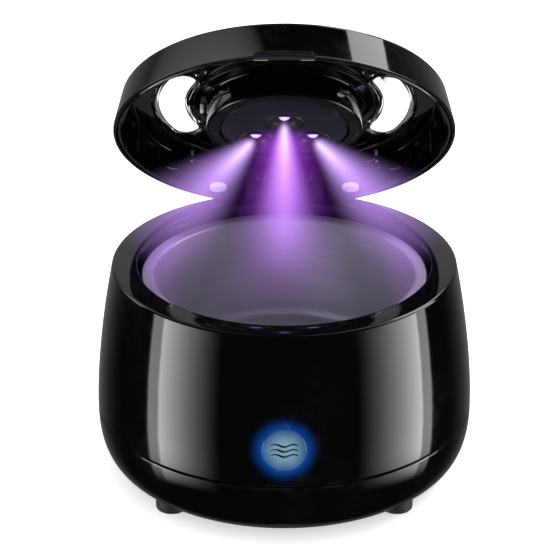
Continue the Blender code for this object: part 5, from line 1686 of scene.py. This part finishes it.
def studio_world():
    """White surroundings; gloss sees tall soft strips at the sides and a pale wall behind."""
    world = bpy.data.worlds.new("studio")
    bpy.context.scene.world = world
    world.use_nodes = True
    t = Tree(world.node_tree)
    nodes = world.node_tree.nodes
    way = t.add("ShaderNodeTexCoord").outputs["Generated"]
    x, y, z = t.add("ShaderNodeSeparateXYZ", {0: way}).outputs
    turn = t.maths("MULTIPLY", t.maths("ARCTAN2", x, t.maths("MULTIPLY", y, -1.0)), 180.0 / math.pi)
    level = None
    for sign, begin, peak, edge in SIDE_STRIPS:
        angle = t.maths("MULTIPLY", turn, sign)
        rise = t.maths("POWER", t.fit(angle, begin, peak), 1.7)
        cut_off = t.fit(angle, peak + 0.6, peak - 0.6)
        strip = t.maths("MULTIPLY", t.maths("MULTIPLY", rise, cut_off), STRIP_GAIN)
        band = t.maths("MULTIPLY", t.fit(angle, peak - 0.6, peak + 0.6), t.fit(angle, edge + 0.8, edge - 0.8))
        strip = t.maths("ADD", strip, t.maths("MULTIPLY", band, STRIP_BAND))
        level = strip if level is None else t.maths("ADD", level, strip)
    level = t.maths("MULTIPLY", level, t.maths("MULTIPLY", t.fit(z, -0.62, -0.40, smooth=True),
                                               t.fit(z, 0.10, 0.02, smooth=True)))
    high = t.fit(z, 0.02, 0.10, smooth=True)
    right = t.maths("MULTIPLY", t.maths("POWER", t.fit(turn, 62.0, 111.0), 1.5), t.fit(turn, 112.0, 111.0))
    left = t.maths("MULTIPLY", t.fit(turn, -136.0, -112.0), t.fit(turn, -102.0, -103.0))
    upper = t.maths("ADD", t.maths("MULTIPLY", right, UPPER_RIGHT), t.maths("MULTIPLY", left, UPPER_LEFT))
    level = t.maths("ADD", level, t.maths("MULTIPLY", upper, high))
    behind = t.maths("MULTIPLY", t.fit(t.maths("ABSOLUTE", turn), 118.0, 165.0, smooth=True),
                     t.fit(z, 0.80, 0.55, smooth=True))
    behind = t.maths("MULTIPLY", behind, t.fit(z, -0.5, 0.25, 0.35, 1.0))
    level = t.maths("ADD", level, t.maths("MULTIPLY", behind, BEHIND))
    level = t.maths("ADD", level, LOWEST)
    glossy = t.add("ShaderNodeLightPath").outputs["Is Glossy Ray"]
    strength = t.add("ShaderNodeMix", {0: glossy, 2: 1.0})
    world.node_tree.links.new(level, strength.inputs[3])
    nodes["Background"].inputs["Color"].default_value = (1.0, 1.0, 1.0, 1.0)
    world.node_tree.links.new(strength.outputs[0], nodes["Background"].inputs["Strength"])
    bpy.context.scene.view_settings.view_transform = "Standard"


class CLEANER_OT_stage(PieceOperator, bpy.types.Operator):
    """Build the floor, studio light, the lamps' beams and the camera"""

    bl_idname = "cleaner.stage"
    bl_label = "Stage"

    def execute(self, context):
        floor = block("studio_floor", (-FLOOR_HALF, -FLOOR_HALF, -0.010), (FLOOR_HALF, FLOOR_HALF, -0.0001))
        f = Finish("studio_floor", 0.9)
        cloud = f.add("ShaderNodeTexNoise", {"Vector": f.place, "Scale": 2.0})
        f.feed("Base Color", f.mix(cloud.outputs[0], colours().floor, [c * 0.99 for c in colours().floor]))
        f.shader.inputs["Emission Color"].default_value = (1.0, 1.0, 1.0, 1.0)
        f.shader.inputs["Emission Strength"].default_value = FLOOR_GLOW
        clean_materials(floor, f.material)
        floor.visible_glossy = False
        studio_world()
        area_light("top_softbox", *SOFTBOX)
        lens_low = pad_box("head_lens")[0].z
        for i, place in enumerate(lamp_places()):
            spot = LID_PLACE @ Vector((*place, lens_low + 0.001))
            side = math.copysign(0.95, place[0]) if i else 0.0
            aim = LID_PLACE.to_3x3() @ Vector((side, 0.10 * (i > 0), -1.0)).normalized()
            beam(f"lamp_beam_{i + 1}", spot, aim, BEAM_LENGTH, (BEAM_START, 0.0290 if i else 0.0190),
                 BEAM_STRENGTH, 0.40)
            data = bpy.data.lights.new(f"lamp_light_{i + 1}", "SPOT")
            data.energy = LAMP_WATTS
            data.color = (0.62, 0.28, 1.0)
            data.spot_size = LAMP_SPREAD
            data.spot_blend = 0.9
            data.shadow_soft_size = 0.002
            light = bpy.data.objects.new(f"lamp_light_{i + 1}", data)
            light.visible_glossy = False
            light.matrix_world = (Matrix.Translation(spot + aim * 0.003)
                                  @ aim.to_track_quat("-Z", "Y").to_matrix().to_4x4())
            bpy.context.scene.collection.objects.link(light)
            tie_to_lid(light)
        middle = LID_PLACE @ Vector((0.0, 0.0, lens_low))
        down = LID_PLACE.to_3x3() @ Vector((0.0, 0.25, -1.0)).normalized()
        # Painted haze: a wide cone below the light head that glows by itself; nothing in it is lit.
        beam("painted_haze_glow", middle, down, 0.060, (0.0120, 0.0300), 190.0, 0.0, (0.22, 0.03, 0.42))
        camera = bpy.data.objects.new("camera", bpy.data.cameras.new("camera"))
        camera.location = (0.0, -CAMERA_DISTANCE * math.cos(CAMERA_RAISE),
                           RIM_Z + CAMERA_DISTANCE * math.sin(CAMERA_RAISE))
        camera.rotation_euler = (math.pi / 2 - CAMERA_RAISE, 0.0, 0.0)
        camera.data.lens = CAMERA_LENS
        camera.data.sensor_width = 36.0
        camera.data.shift_x, camera.data.shift_y = CAMERA_SHIFT
        bpy.context.scene.collection.objects.link(camera)
        bpy.context.scene.camera = camera
        return {"FINISHED"}


OPERATORS = (
    CLEANER_OT_insides, CLEANER_OT_upper_casing, CLEANER_OT_lower_casing, CLEANER_OT_feet, CLEANER_OT_tank,
    CLEANER_OT_lid_cover, CLEANER_OT_lid_liner, CLEANER_OT_windows, CLEANER_OT_light_head, CLEANER_OT_hinge,
    CLEANER_OT_catch, CLEANER_OT_button, CLEANER_OT_inlet, CLEANER_OT_screws, CLEANER_OT_stage,
)


class CLEANER_PT_sidebar(bpy.types.Panel):
    """Sizes, colours and build steps of the cleaner"""

    bl_idname = "CLEANER_PT_sidebar"
    bl_label = "Ultrasonic Cleaner"
    bl_space_type = "VIEW_3D"
    bl_region_type = "UI"
    bl_category = "Cleaner"

    def draw(self, context):
        layout = self.layout
        for title, group in (("Sizes", sizes()), ("Colours", colours())):
            box = layout.box()
            box.label(text=title)
            for name in group.bl_rna.properties.keys():
                if name not in ("rna_type", "name"):
                    box.prop(group, name)
        box = layout.box()
        box.label(text="Build")
        for operator in OPERATORS:
            box.operator(operator.bl_idname)


CLASSES = (CleanerSizes, CleanerColours, *OPERATORS, CLEANER_PT_sidebar)


def register():
    for item in CLASSES:
        bpy.utils.register_class(item)
    bpy.types.Scene.cleaner_sizes = PointerProperty(type=CleanerSizes)
    bpy.types.Scene.cleaner_colours = PointerProperty(type=CleanerColours)


def unregister():
    del bpy.types.Scene.cleaner_colours
    del bpy.types.Scene.cleaner_sizes
    for item in reversed(CLASSES):
        bpy.utils.unregister_class(item)


def main():
    register()
    made["finish"] = make_finishes()
    made["bulged"] = bulged_wall_tree()
    made["screws"] = threaded_screw_tree()
    made["waves"] = wave_marks_tree()
    made["winding"] = winding_tree()
    for operator in OPERATORS:
        name = operator.bl_idname.split(".")[1]
        result = getattr(bpy.ops.cleaner, name)()
        if result != {"FINISHED"}:
            raise RuntimeError(f"{operator.bl_label} was not built")


if __name__ == "__main__":
    main()
